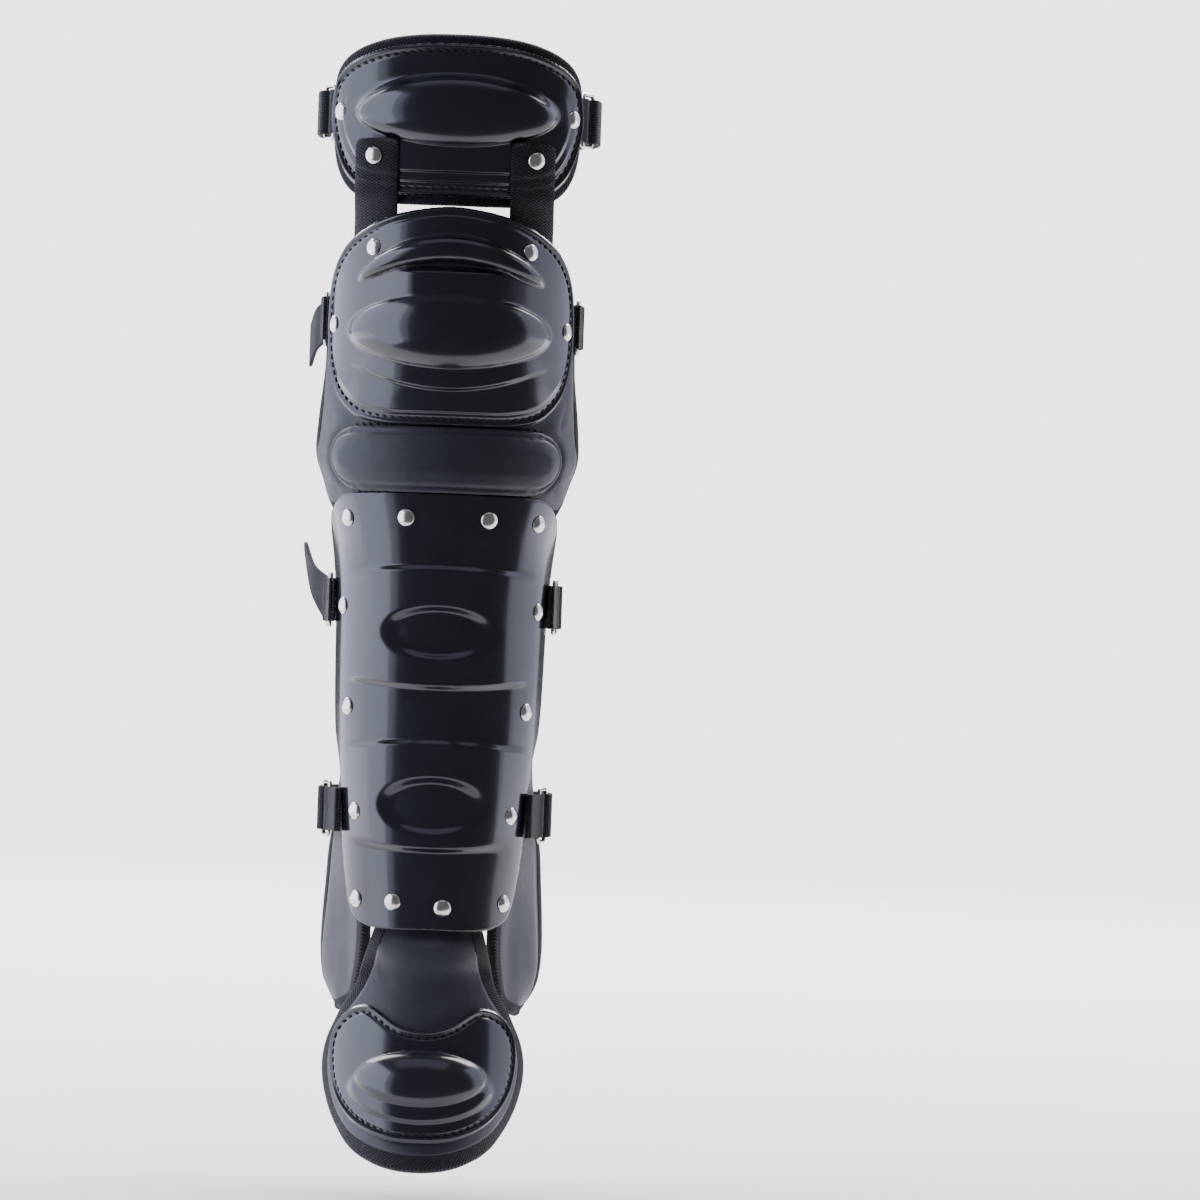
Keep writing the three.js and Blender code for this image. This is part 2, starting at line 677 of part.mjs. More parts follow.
for (const [name, hand] of [['left', -1], ['right', 1]]) {
  const sites = [];
  webRows.forEach((height) => webColumns.forEach((share) => {
    const trim = height === webTop ? 0.72 : 1;
    sites.push({ height, across: webOffset + share * webWide * trim });
  }));
  const grid = { sites, across: webColumns.length - 1, up: webRows.length - 1 };
  addPiece(`web_${name}`, sheetOver(
    grid,
    ({ across, height }) => webPlace(hand, across, height, webThick),
    ({ across, height }) => webPlace(hand, across, height, 0)), 'webbing');
}

// A wire bent into a rounded rectangle, upright in the plane of its long direction
function ringAt(middle, along) {
  const outwards = new THREE.Vector3(along.y, -along.x, 0);
  const halfLong = (ringLong - wireThick) / 2;
  const halfHigh = (ringHigh - wireThick) / 2;
  const path = [];
  for (const [sideways, upwards] of [[1, 1], [-1, 1], [-1, -1], [1, -1]]) {
    const turns = sideways * upwards > 0 ? [0, 1] : [1, 0];
    for (const turn of turns) {
      path.push([sideways * (halfLong - ringCorner * turn),
        upwards * (halfHigh - ringCorner * (1 - turn))]);
    }
  }
  const sides = 6;
  const points = [];
  path.forEach(([sideways, upwards], index) => {
    const [beforeX, beforeY] = path[(index + path.length - 1) % path.length];
    const [afterX, afterY] = path[(index + 1) % path.length];
    const tangent = new THREE.Vector2(afterX - beforeX, afterY - beforeY).normalize();
    for (let step = 0; step < sides; step += 1) {
      const angle = (step + 0.5) / sides * 2 * Math.PI;
      const inPlane = Math.cos(angle) * wireThick / 2;
      const offPlane = Math.sin(angle) * wireThick / 2;
      const long = sideways + tangent.y * inPlane;
      const high = upwards - tangent.x * inPlane;
      points.push(middle.clone().addScaledVector(along, long)
        .addScaledVector(outwards, offPlane).add(new THREE.Vector3(0, 0, high)));
    }
  });
  const faces = [];
  for (let index = 0; index < path.length; index += 1) {
    const next = (index + 1) % path.length;
    for (let step = 0; step < sides; step += 1) {
      const turn = (step + 1) % sides;
      const [a, b] = [index * sides + step, index * sides + turn];
      const [c, d] = [next * sides + turn, next * sides + step];
      faces.push([a, b, c], [a, c, d]);
    }
  }
  return closedBody(points, faces);
}

// Points round the side of a bar that faces the ring's hole, from one face to the other
function roundBar(bar, along, outwards, radius) {
  const turns = [90, 30, -30, -90];
  return turns.map((turn) => bar.clone()
    .addScaledVector(outwards, radius * Math.sin(turn * radians))
    .addScaledVector(along, radius * Math.cos(turn * radians)));
}

// Where each strap's tabs leave the guard, and where its rings lie
const overlay = seatGap + tabThick + 0.3;
const strapPlan = [
  { name: 'thigh', height: thighStrapHeight, wrap: thighWrap, side: thighPadReach + 16.8,
    outwards: -shellBack - 3.6,
    ringOut: 0, ringBack: 13, tail: 0, tailWay: 0 },
  { name: 'knee', height: kneeStrapHeight, wrap: legWrap, side: kneeReach + 1.2,
    outwards: 1.2,
    ringOut: -0.6, ringBack: 15, tail: kneeTail, tailWay: -1 },
  { name: 'upper_calf', height: upperStrapHeight, wrap: legWrap, side: 78,
    outwards: overlay + 0.3,
    ringOut: 4, ringBack: 24, tail: calfTail, tailWay: 1 },
  { name: 'lower_calf', height: lowerStrapHeight, wrap: legWrap, side: 65.5,
    outwards: overlay + 0.5,
    ringOut: 5.5, ringBack: 22, tail: 0, tailWay: 0 },
];
const barReach = (ringLong - wireThick) / 2;
const tabTurn = wireThick / 2 + seatGap + tabThick / 2;
const strapTurn = wireThick / 2 + seatGap + strapThick / 2;
const backShares = [0.1, 0.3, 0.5, 0.75, 1];

for (const plan of strapPlan) {
  const ends = [-1, 1].map((hand) => {
    const upperEdge = plan.height + webWide / 2;
    const start = offsetFrom(plan.wrap, hand * plan.side, upperEdge, plan.outwards);
    start.z = plan.height;
    const middle = new THREE.Vector3(
      hand * (plan.wrap.half(plan.height) + plan.ringOut), start.y + plan.ringBack, plan.height);
    const along = middle.clone().sub(start).normalize();
    const outwards = new THREE.Vector3(along.y, -along.x, 0).multiplyScalar(hand);
    const name = hand < 0 ? 'left' : 'right';
    addPiece(`ring_${plan.name}_${name}`, ringAt(middle, along), 'nickel');
    const frontBar = middle.clone().addScaledVector(along, -barReach);
    const rearBar = middle.clone().addScaledVector(along, barReach);
    const layer = tabThick / 2 + 0.15;
    const tab = [
      start.clone().addScaledVector(outwards, layer),
      frontBar.clone().addScaledVector(along, -tabFold).addScaledVector(outwards, layer + 0.5),
      ...roundBar(frontBar, along, outwards, tabTurn),
      frontBar.clone().addScaledVector(along, -tabFold).addScaledVector(outwards, -layer - 0.5),
      start.clone().addScaledVector(outwards, -layer),
    ];
    addPiece(`tab_${plan.name}_${name}`, bandAlong(tab, webWide, tabThick), 'webbing');
    return { hand, along, outwards, rearBar };
  });
  const lapOut = strapThick + strapGap;
  const halfRuns = ends.map(({ hand, along, outwards, rearBar }) => {
    const into = rearBar.clone().addScaledVector(outwards, -strapTurn);
    const lead = into.clone().addScaledVector(along, strapLead);
    const wide = Math.abs(lead.x);
    const reachBack = strapBack + kneeFront - lead.y;
    const run = backShares.map((share) => {
      const angle = share * Math.PI / 2;
      const across = wide * Math.cos(angle) ** 0.62;
      const back = reachBack * Math.sin(angle) ** 0.62;
      return new THREE.Vector3(hand * across, lead.y + back, plan.height);
    });
    return { hand, along, outwards, rearBar, inner: [into, lead, ...run] };
  });
  const lapPath = ({ hand, along, outwards, rearBar, inner }, withTail) => {
    const outer = inner.slice(1, withTail === 0 ? 4 : 2).map((point, index) => {
      const before = inner[index];
      const after = inner[index + 2];
      const run = after.clone().sub(before).setZ(0).normalize();
      const away = new THREE.Vector3(run.y, -run.x, 0).multiplyScalar(hand);
      return point.clone().addScaledVector(away, lapOut);
    });
    const turn = roundBar(rearBar, along.clone().negate(), outwards, strapTurn);
    const lap = [...outer.reverse(), ...turn];
    if (withTail !== 0) {
      const tip = outer[0].clone();
      const heading = along.clone();
      const away = new THREE.Vector3(heading.y, -heading.x, 0).multiplyScalar(hand);
      tip.addScaledVector(heading, plan.tail * 0.9).addScaledVector(away, plan.tail * 0.35);
      tip.z += withTail * plan.tail * tailTilt;
      lap.unshift(tip);
    }
    return lap;
  };
  const leftRun = halfRuns[0];
  const rightRun = halfRuns[1];
  const path = [
    ...lapPath(leftRun, plan.tailWay),
    ...leftRun.inner.slice(1),
    ...rightRun.inner.slice(1, -1).reverse(),
    ...lapPath(rightRun, 0).reverse(),
  ];
  addPiece(`strap_${plan.name}`, bandAlong(path, strapWide, strapThick), 'elastic');
}

// Domed rivets, each standing just off the face that it holds
const rivetSides = 8;
function rivetAt(name, place, out) {
  const profile = [
    new THREE.Vector2(0, 0),
    new THREE.Vector2(rivetCap / 2, 0),
    new THREE.Vector2(rivetCap / 2, rivetRise * 0.25),
    new THREE.Vector2(rivetCap * 0.33, rivetRise * 0.8),
    new THREE.Vector2(0, rivetRise),
  ];
  const points = [place.clone()];
  const turnTo = new THREE.Quaternion().setFromUnitVectors(new THREE.Vector3(0, 0, 1), out);
  for (const { x, y } of profile.slice(1, -1)) {
    for (let step = 0; step < rivetSides; step += 1) {
      const angle = step / rivetSides * 2 * Math.PI;
      const corner = new THREE.Vector3(x * Math.cos(angle), x * Math.sin(angle), y);
      points.push(corner.applyQuaternion(turnTo).add(place));
    }
  }
  points.push(place.clone().addScaledVector(out, rivetRise));
  const last = points.length - 1;
  const faces = [];
  for (let step = 0; step < rivetSides; step += 1) {
    const next = (step + 1) % rivetSides;
    faces.push([0, 1 + next, 1 + step]);
    for (let ring = 0; ring < 2; ring += 1) {
      const low = 1 + ring * rivetSides;
      const high = low + rivetSides;
      faces.push([low + step, low + next, high + next], [low + step, high + next, high + step]);
    }
    faces.push([last, last - rivetSides + step, last - rivetSides + next]);
  }
  addPiece(name, closedBody(points, faces), 'nickel');
}

function rivetOn(name, wrap, outline, relief, across, height, lift = 0) {
  const side = sideOf(wrap, across, height);
  const rise = reliefNear(wrap, outline, relief, across, height, rivetCap * 0.4) + rivetSeat + lift;
  rivetAt(name, offsetFrom(wrap, side, height, rise), outOf(wrap, side, height));
}

const thighRivets = [['side', 0.89, 0.55]];
for (const [name, hand] of [['left', -1], ['right', 1]]) {
  for (const [label, share, up] of thighRivets) {
    rivetOn(`rivet_thigh_${label}_${name}`, thighWrap, thighOutline, thighRelief, hand * share * thighHalf,
      thighBottom + thighTall * up);
  }
  const webHeight = webTop - 10;
  const webOut = outOf(thighWrap, hand * webSide, webHeight);
  const webSeat = webPlace(hand, webOffset, webHeight + rivetCap * 0.4, webThick);
  webSeat.z = webHeight;
  rivetAt(`rivet_thigh_web_${name}`, webSeat.addScaledVector(webOut, rivetSeat), webOut);
  rivetOn(`rivet_knee_web_${name}`, legWrap, kneeOutline, kneeRelief, hand * webOffset,
    kneeTop * 0.625, 1.4 * rivetSeat);
  rivetOn(`rivet_knee_side_${name}`, legWrap, kneeOutline, kneeRelief, hand * kneeHalf * 0.912, -4);
}
// Rivets of the shin plate, as shares of its half-width there and of its height
const shinRivets = [
  ['top', 0.819, 0.94], ['upper', 0.918, 0.738], ['middle', 0.863, 0.506],
  ['lower', 0.79, 0.266], ['bottom', 0.824, 0.0635],
];
const middleRivets = [
  ['head_left', -0.309, 0.944], ['head_right', 0.397, 0.944], ['heel_left', -0.403, 0.0615],
  ['heel_right', 0.154, 0.0516],
];
function shinRivet(label, share, up) {
  const height = shinBottom + shinTall * up;
  rivetOn(`rivet_shin_${label}`, legWrap, shinOutline, shinRelief,
    share * legWrap.half(height), height);
}
for (const [label, share, up] of shinRivets) {
  shinRivet(`${label}_left`, -share, up);
  shinRivet(`${label}_right`, share, up);
}
middleRivets.forEach(([label, share, up]) => shinRivet(label, share, up));

export default group;
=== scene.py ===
import json
from math import cos, pi, radians, sin

import bmesh
import bpy
import numpy as np
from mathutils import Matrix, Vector
from mathutils.bvhtree import BVHTree


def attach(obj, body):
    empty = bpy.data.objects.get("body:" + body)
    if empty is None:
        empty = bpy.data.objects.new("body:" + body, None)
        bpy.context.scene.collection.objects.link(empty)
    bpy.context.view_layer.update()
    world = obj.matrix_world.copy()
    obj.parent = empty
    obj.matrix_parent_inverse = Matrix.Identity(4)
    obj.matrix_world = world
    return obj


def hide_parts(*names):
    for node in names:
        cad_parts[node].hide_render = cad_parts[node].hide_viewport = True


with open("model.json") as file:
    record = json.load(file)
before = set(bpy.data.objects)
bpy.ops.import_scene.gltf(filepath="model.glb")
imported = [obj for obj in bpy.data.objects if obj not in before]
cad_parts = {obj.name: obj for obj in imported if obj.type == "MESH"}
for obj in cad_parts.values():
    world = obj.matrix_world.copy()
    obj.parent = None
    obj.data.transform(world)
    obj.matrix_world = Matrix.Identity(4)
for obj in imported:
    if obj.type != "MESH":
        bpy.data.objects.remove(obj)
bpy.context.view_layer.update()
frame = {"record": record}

# Lengths are in millimetres until a mesh is made from them, and angles are in degrees.
mm = 0.001

# Stations and sizes of the guard, the same as those of its solids
THIGH_TOP, THIGH_BOTTOM = 157, 70
KNEE_TOP, KNEE_BOTTOM = 64, -62
SHIN_TOP, SHIN_BOTTOM = -101, -353
FOOT_TOP, FOOT_BOTTOM = -395, -470
BODY_TOP, BODY_BOTTOM = 50, -332
FOOT_PAD_BOTTOM = -476
WING_TOP, WING_BOTTOM = -112, -404
LABEL_HEIGHT = 34
THIGH_HALF, KNEE_HALF, BODY_HALF, SHIN_HALF, ANKLE_HALF, FOOT_HALF = 75, 74, 77, 64, 51, 59
THIGH_DEPTH, KNEE_DEPTH, SHIN_DEPTH, ANKLE_DEPTH, FOOT_DEPTH = 40, 70, 55, 43, 54
THIGH_TOP_SET, THIGH_BOTTOM_SET = -7, 6
KNEE_TOP_SET, KNEE_BOTTOM_SET = 4, 14
SHIN_TOP_SET, ANKLE_SET = 14, 22.5
FOOT_TOP_SET, FOOT_BOTTOM_SET = -8, -44
WALL, SEAT, SHEET = 2.5, 0.3, 0.8
THIGH_PAD, BODY_PAD, FOOT_PAD = 12, 13, 11
WING_THICK, LABEL_THICK, EDGE_SHARE = 8, 8, 0.6
THIN_TAPE, WIDE_TAPE = 6, 9
WEB_WIDE, WEB_THICK, WEB_OFFSET, WEB_TOP, WEB_BOTTOM = 25.4, 1.8, 45, 102, 30
STRAP_WIDE, STRAP_THICK, STRAP_GAP, STRAP_BACK = 25.4, 2.2, 0.6, 130
TAB_THICK, WIRE, RING_LONG, RING_HIGH = 1.6, 2.6, 14, 33
WING_FLARE, WING_CURL = 19, 10
HANDS = [(-1, "left"), (1, "right")]
KNEE_FRONT = -(WALL + SHEET + BODY_PAD)
SHELL_BACK = WALL + SHEET


def ramp(value, low, high):
    """Smooth step from 0 at low to 1 at high."""
    share = clamp((np.asarray(value, float) - low) / (high - low))
    return share * share * (3 - 2 * share)


def clamp(value, high=1):
    return np.clip(value, 0, high)


def hump(distance, wide):
    """A soft ridge: 1 at no distance, and next to nothing beyond twice its width."""
    return np.exp(-(distance / wide) ** 2)


def unit(vectors):
    """Vectors of length 1 along the last axis."""
    return vectors / np.linalg.norm(vectors, axis=-1, keepdims=True)


def run_along(line):
    """Distance along a line of points, from its first point to each of them."""
    return np.concatenate([[0], np.cumsum(np.linalg.norm(np.diff(line, axis=0), axis=1))])


def level_normal(along):
    """A level vector square to another."""
    return np.array([along[1], -along[0], 0])


def between(first, last, share):
    return first * (1 - share) + last * share


def read_table(places, values):
    """A smooth curve through the rows of a table."""
    order = np.argsort(places)
    x = np.array(places, float)[order]
    y = np.array(values, float)[order]

    def curve(at):
        at = np.clip(np.asarray(at, float), x[0], x[-1])
        i = np.clip(np.searchsorted(x, at, side="right") - 1, 0, len(x) - 2)
        first, last = i == 0, i == len(x) - 2
        before, after = np.maximum(i - 1, 0), np.minimum(i + 2, len(x) - 1)
        x_prev = np.where(first, x[i + 1], x[before])
        y_prev = np.where(first, y[i + 1], y[before])
        x_next = np.where(last, x[i], x[after])
        y_next = np.where(last, y[i], y[after])
        half = (x[i + 1] - x[i]) / 2
        pull, push = half / (x[i] - x_prev), half / (x_next - x[i + 1])
        p = (at - x[i]) / (x[i + 1] - x[i])
        return (y_prev * (-pull * p**3 + 2 * pull * p**2 - pull * p)
                + y[i] * ((1 + pull) * p**3 + (-1.5 - 2 * pull) * p**2 + (-0.5 + pull) * p + 1)
                + y[i + 1] * ((-1 - push) * p**3 + (1.5 + push) * p**2 + 0.5 * p)
                + y_next * (push * p**3 - push * p**2))

    return curve


class Wrap:
    """Half an ellipse at every height, open to the back and straight beyond 90 degrees."""

    def __init__(self, rows):
        heights, halves, depths, sets = zip(*rows)
        self.half = read_table(heights, halves)
        self.deep = read_table(heights, depths)
        self.set = read_table(heights, sets)

    def at(self, side, height):
        side, height = np.broadcast_arrays(np.asarray(side, float), np.asarray(height, float))
        turn = np.radians(np.minimum(np.abs(side), 90))
        straight = np.radians(np.maximum(np.abs(side) - 90, 0))
        across = np.sign(side) * self.half(height) * np.sin(turn)
        back = self.deep(height) * (1 - np.cos(turn) + straight)
        return np.stack([across, KNEE_FRONT + self.set(height) + back, height], axis=-1)

    def out(self, side, height):
        along_side = self.at(np.add(side, 0.5), height) - self.at(np.subtract(side, 0.5), height)
        along_height = self.at(side, np.add(height, 0.5)) - self.at(side, np.subtract(height, 0.5))
        return unit(np.cross(along_side, along_height))

    def offset(self, side, height, outwards):
        outwards = np.asarray(outwards, float)[..., None]
        return self.at(side, height) + self.out(side, height) * outwards

    def side_of(self, across, height):
        return np.degrees(np.arcsin(np.clip(across / self.half(height), -1, 1)))


thigh_wrap = Wrap([
    (THIGH_TOP + 8, THIGH_HALF, THIGH_DEPTH, THIGH_TOP_SET - 1),
    (THIGH_TOP, THIGH_HALF, THIGH_DEPTH, THIGH_TOP_SET),
    (THIGH_BOTTOM, THIGH_HALF, THIGH_DEPTH, THIGH_BOTTOM_SET),
    (THIGH_BOTTOM - 10, THIGH_HALF, THIGH_DEPTH, THIGH_BOTTOM_SET + 1.5),
])
leg_wrap = Wrap([
    (KNEE_TOP + 4, KNEE_HALF, KNEE_DEPTH * 0.94, KNEE_TOP_SET),
    (KNEE_TOP * 0.5, KNEE_HALF, KNEE_DEPTH, 0),
    (0, KNEE_HALF, KNEE_DEPTH, 0),
    (KNEE_BOTTOM * 0.56, KNEE_HALF, KNEE_DEPTH * 0.94, KNEE_BOTTOM_SET * 0.43),
    (KNEE_BOTTOM, BODY_HALF * 0.985, KNEE_DEPTH * 0.85, KNEE_BOTTOM_SET),
    ((KNEE_BOTTOM + SHIN_TOP) / 2, BODY_HALF, SHIN_DEPTH * 1.04, SHIN_TOP_SET),
    (SHIN_TOP + 4, BODY_HALF * 0.94, SHIN_DEPTH, SHIN_TOP_SET),
    (between(SHIN_TOP, SHIN_BOTTOM, 0.13), SHIN_HALF * 1.01, SHIN_DEPTH * 0.99,
     between(SHIN_TOP_SET, ANKLE_SET, 0.13)),
    (between(SHIN_TOP, SHIN_BOTTOM, 0.5), SHIN_HALF * 0.94,
     between(SHIN_DEPTH, ANKLE_DEPTH, 0.5), between(SHIN_TOP_SET, ANKLE_SET, 0.5)),
    (between(SHIN_TOP, SHIN_BOTTOM, 0.75), ANKLE_HALF * 1.12, ANKLE_DEPTH * 1.07,
     between(SHIN_TOP_SET, ANKLE_SET, 0.75)),
    (SHIN_BOTTOM, ANKLE_HALF, ANKLE_DEPTH, ANKLE_SET),
    (WING_BOTTOM - 6, ANKLE_HALF, ANKLE_DEPTH, ANKLE_SET + 1),
])
FOOT_PAD_TOP = BODY_BOTTOM - THIN_TAPE - SEAT - WIDE_TAPE - 2
FOOT_DROP = FOOT_BOTTOM_SET - FOOT_TOP_SET
foot_wrap = Wrap([
    (FOOT_PAD_TOP + WIDE_TAPE, ANKLE_HALF, ANKLE_DEPTH, ANKLE_SET + 3),
    (SHIN_BOTTOM, ANKLE_HALF, ANKLE_DEPTH, ANKLE_SET + 3),
    ((SHIN_BOTTOM + FOOT_TOP) / 2, (ANKLE_HALF + FOOT_HALF) / 2,
     (ANKLE_DEPTH + FOOT_DEPTH) / 2, FOOT_TOP_SET * 0.55 + ANKLE_SET * 0.25),
    (FOOT_TOP, FOOT_HALF, FOOT_DEPTH, FOOT_TOP_SET),
    ((FOOT_TOP + FOOT_BOTTOM) / 2, FOOT_HALF, FOOT_DEPTH, FOOT_TOP_SET + FOOT_DROP * 0.5),
    (FOOT_BOTTOM, FOOT_HALF * 0.9, FOOT_DEPTH * 1.1, FOOT_BOTTOM_SET),
    (FOOT_PAD_BOTTOM - 14, FOOT_HALF * 0.8, FOOT_DEPTH * 1.15, FOOT_BOTTOM_SET - 8),
])

# Outlines, as shares of the reach to the side and of the height from bottom to top
KNEE_EDGE = [
    (0, 1), (0.2, 0.984), (0.364, 0.957), (0.52, 0.917), (0.64, 0.876), (0.76, 0.822),
    (0.865, 0.752), (0.94, 0.67), (0.985, 0.565), (1, 0.45), (0.968, 0.302), (0.89, 0.198),
    (0.775, 0.117), (0.6, 0.038), (0.38, 0.004), (0.18, 0), (0, 0),
]
THIGH_EDGE = [
    (0, 1), (0.2, 0.995), (0.41, 0.968), (0.64, 0.905), (0.8, 0.838), (0.93, 0.744),
    (0.985, 0.62), (1, 0.52), (0.945, 0.384), (0.835, 0.218), (0.744, 0.128), (0.625, 0.055),
    (0.42, 0.01), (0.2, 0), (0, 0),
]
SHIN_EDGE = [
    (0, 1), (0.45, 0.998), (0.64, 0.99), (0.8, 0.955), (0.94, 0.9), (1, 0.82), (1, 0.6),
    (0.98, 0.49), (0.82, 0.4), (0.76, 0.32), (0.76, 0.12), (0.7, 0.04), (0.52, 0.006), (0, 0),
]
FOOT_EDGE = [
    (0, 0.828), (0.12, 0.84), (0.244, 0.876), (0.36, 0.94), (0.5, 0.995), (0.66, 0.972),
    (0.82, 0.888), (0.94, 0.765), (0.985, 0.61), (0.972, 0.45), (0.92, 0.33), (0.81, 0.21),
    (0.638, 0.105), (0.37, 0.025), (0.18, 0.003), (0, 0),
]
FOOT_PAD_EDGE = [
    (0, 1), (0.4, 0.995), (0.46, 0.93), (0.48, 0.82), (0.56, 0.7), (0.78, 0.56), (0.95, 0.44),
    (1, 0.33), (0.93, 0.19), (0.75, 0.09), (0.4, 0.02), (0, 0),
]
LABEL_EDGE = [
    (0, 1), (0.5, 1), (0.8, 0.97), (0.95, 0.8), (1, 0.5), (0.95, 0.2), (0.8, 0.03), (0.5, 0),
    (0, 0),
]


def spline(points, steps):
    """Centripetal spline from the second point to the last but one, without that end."""
    curve = []
    t = np.linspace(0, 1, steps, endpoint=False)[:, None]
    for p0, p1, p2, p3 in zip(points, points[1:], points[2:], points[3:]):
        d0, d1, d2 = (max(np.linalg.norm(b - a), 1e-6) ** 0.5
                      for a, b in ((p0, p1), (p1, p2), (p2, p3)))
        start = end = p2 - p1
        if (p0 != p1).any():
            start = ((p1 - p0) / d0 - (p2 - p0) / (d0 + d1) + (p2 - p1) / d1) * d1
        if (p2 != p3).any():
            end = ((p2 - p1) / d1 - (p3 - p1) / (d1 + d2) + (p3 - p2) / d2) * d1
        curve.append((2 * t**3 - 3 * t**2 + 1) * p1 + (t**3 - 2 * t**2 + t) * start
                     + (-2 * t**3 + 3 * t**2) * p2 + (t**3 - t**2) * end)
    return np.concatenate(curve)


RIM_STEPS = 48  # between two points of an outline


class Outline:
    """An edge given by its distance from a middle in every direction."""

    def __init__(self, edge, reach, top, bottom, middle_share):
        self.middle = bottom + (top - bottom) * middle_share
        right = [(across * reach, bottom + (top - bottom) * up - self.middle)
                 for across, up in edge]
        left = [(-side, rise) for side, rise in right[-2:0:-1]]
        loop = np.array(right + left)
        self.rim = spline(np.concatenate([loop[-1:], loop, loop[:2]]), RIM_STEPS)
        self.reach, self.tall = reach, max(top - self.middle, self.middle - bottom)
        angle = np.arctan2(self.rim[:, 1] / self.tall, self.rim[:, 0] / self.reach)
        order = np.argsort(angle)
        self.angle, self.sorted = angle[order], self.rim[order]
        self.sides, self.heights = self.rim[:, 0], self.rim[:, 1] + self.middle

    def edge(self, angle):
        angle = np.arctan2(np.sin(angle), np.cos(angle))
        return [np.interp(angle, self.angle, self.sorted[:, k], period=2 * pi)
                for k in (0, 1)]

    def share_of(self, side, height):
        rise = height - self.middle
        edge_side, edge_rise = self.edge(np.arctan2(rise / self.tall, side / self.reach))
        return np.hypot(side, rise) / np.hypot(edge_side, edge_rise)


def spread(count, fine=0.0, rings=18):
    """Places from -1 to 1, with extra rings close to both ends."""
    inner = np.linspace(-1 + fine, 1 - fine, count)
    if fine == 0:
        return inner
    outer = 1 - fine * (1 - np.sin(np.linspace(0, pi / 2, rings + 1)[1:]))
    return np.concatenate([-outer[::-1], inner, outer])


def ring_sites(outline, across, up, fine=0.0):
    """Cells that fill an outline, with rings that keep the outline's shape."""
    u, v = np.meshgrid(spread(across, fine), spread(up, fine))
    share = np.maximum(np.abs(u), np.abs(v))
    wide = np.abs(u) >= np.abs(v)
    with np.errstate(divide="ignore", invalid="ignore"):
        flat = pi / 4 * v / np.where(u == 0, 1, u) + np.where(u < 0, pi, 0)
        steep = pi / 2 - pi / 4 * u / np.where(v == 0, 1, v)
        steep = steep + np.where(v < 0, pi, 0)
    angle = np.where(wide, flat, steep)
    side, rise = outline.edge(angle)
    return side * share, outline.middle + rise * share, share


END_CROWD = 0.13  # how much closer the levels lie at both ends


def level_sites(limits, top, bottom, across, up):
    """Cells between two side limits at every level, closer together at both ends."""
    levels, fronts, rears = zip(*limits)
    front, rear = read_table(levels, fronts), read_table(levels, rears)
    even = np.linspace(0, 1, up)
    crowded = even - np.sin(2 * pi * even) * END_CROWD
    u, v = np.meshgrid(np.linspace(0, 1, across), crowded)
    side = front(v) + (rear(v) - front(v)) * u
    share = np.maximum(np.abs(2 * u - 1), np.abs(2 * v - 1))
    return side, bottom + (top - bottom) * v, share


def add_object(name, data):
    added = bpy.data.objects.new(name, data)
    bpy.context.scene.collection.objects.link(added)
    return added


def new_object(name, points, faces, uvs=None):
    mesh = bpy.data.meshes.new(name)
    mesh.from_pydata((np.reshape(points, (-1, 3)) * mm).tolist(), [], faces)
    if uvs is not None:
        layer = mesh.uv_layers.new(name="UVMap")
        loops = np.empty(len(mesh.loops), int)
        mesh.loops.foreach_get("vertex_index", loops)
        layer.data.foreach_set("uv", np.reshape(uvs, (-1, 2))[loops].ravel())
    mesh.validate()
    work = bmesh.new()
    work.from_mesh(mesh)
    bmesh.ops.remove_doubles(work, verts=work.verts, dist=1e-6)
    bmesh.ops.recalc_face_normals(work, faces=work.faces)
    work.to_mesh(mesh)
    work.free()
    mesh.polygons.foreach_set("use_smooth", [True] * len(mesh.polygons))
    return add_object(name, mesh)


def place(piece, material, slot, *nodes):
    """Give a piece its finish and its body, and hide the solids that it stands for."""
    piece.data.materials.clear()
    piece.data.materials.append(material)
    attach(piece, "root")
    if nodes:
        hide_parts(*nodes)
    return piece


def grid_faces(rows, columns, start=0, close=False, loop=False):
    """Faces of a grid; close joins its two sides, and loop its first and last rows."""
    faces = []
    for row in range(rows - 1 + loop):
        here, there = start + row * columns, start + (row + 1) % rows * columns
        for column in range(columns - 1 + close):
            aside = (column + 1) % columns
            faces.append((here + column, here + aside, there + aside, there + column))
    return faces


def tube_mesh(name, lines, uvs=None, loop=True):
    """A tube whose sides are the lines, joined end to end or else closed at both ends."""
    points = np.stack(lines, 1)
    count, sides = points.shape[:2]
    faces = grid_faces(count, sides, close=True, loop=loop)
    if not loop:
        faces.append(tuple(range(sides)))
        faces.append(tuple(range((count - 1) * sides, count * sides))[::-1])
    return new_object(name, points, faces, None if uvs is None else np.stack(uvs, 1))


def rim_indices(rows, columns):
    bottom = list(range(columns - 1))
    right = [row * columns + columns - 1 for row in range(rows - 1)]
    top = [(rows - 1) * columns + column for column in range(columns - 1, 0, -1)]
    left = [row * columns for row in range(rows - 1, 0, -1)]
    return bottom + right + top + left


def sheet_mesh(name, front, back):
    """A closed sheet between two grids of points; its UVs run across and up in metres."""
    rows, columns = front.shape[:2]
    count = rows * columns
    points = np.concatenate([front.reshape(-1, 3), back.reshape(-1, 3)])
    faces = grid_faces(rows, columns)
    faces += [tuple(i + count for i in face[::-1]) for face in faces]
    rim = rim_indices(rows, columns)
    for here, after in zip(rim, rim[1:] + rim[:1]):
        faces.append((here, here + count, after + count, after))
    run = np.array([run_along(row) for row in front])
    run -= run[:, columns // 2][:, None]
    climb = run_along(front[:, columns // 2])[:, None] + np.zeros_like(run)
    uvs = np.stack([climb, run], -1).reshape(-1, 2) * mm
    return new_object(name, points, faces, np.concatenate([uvs, uvs]))


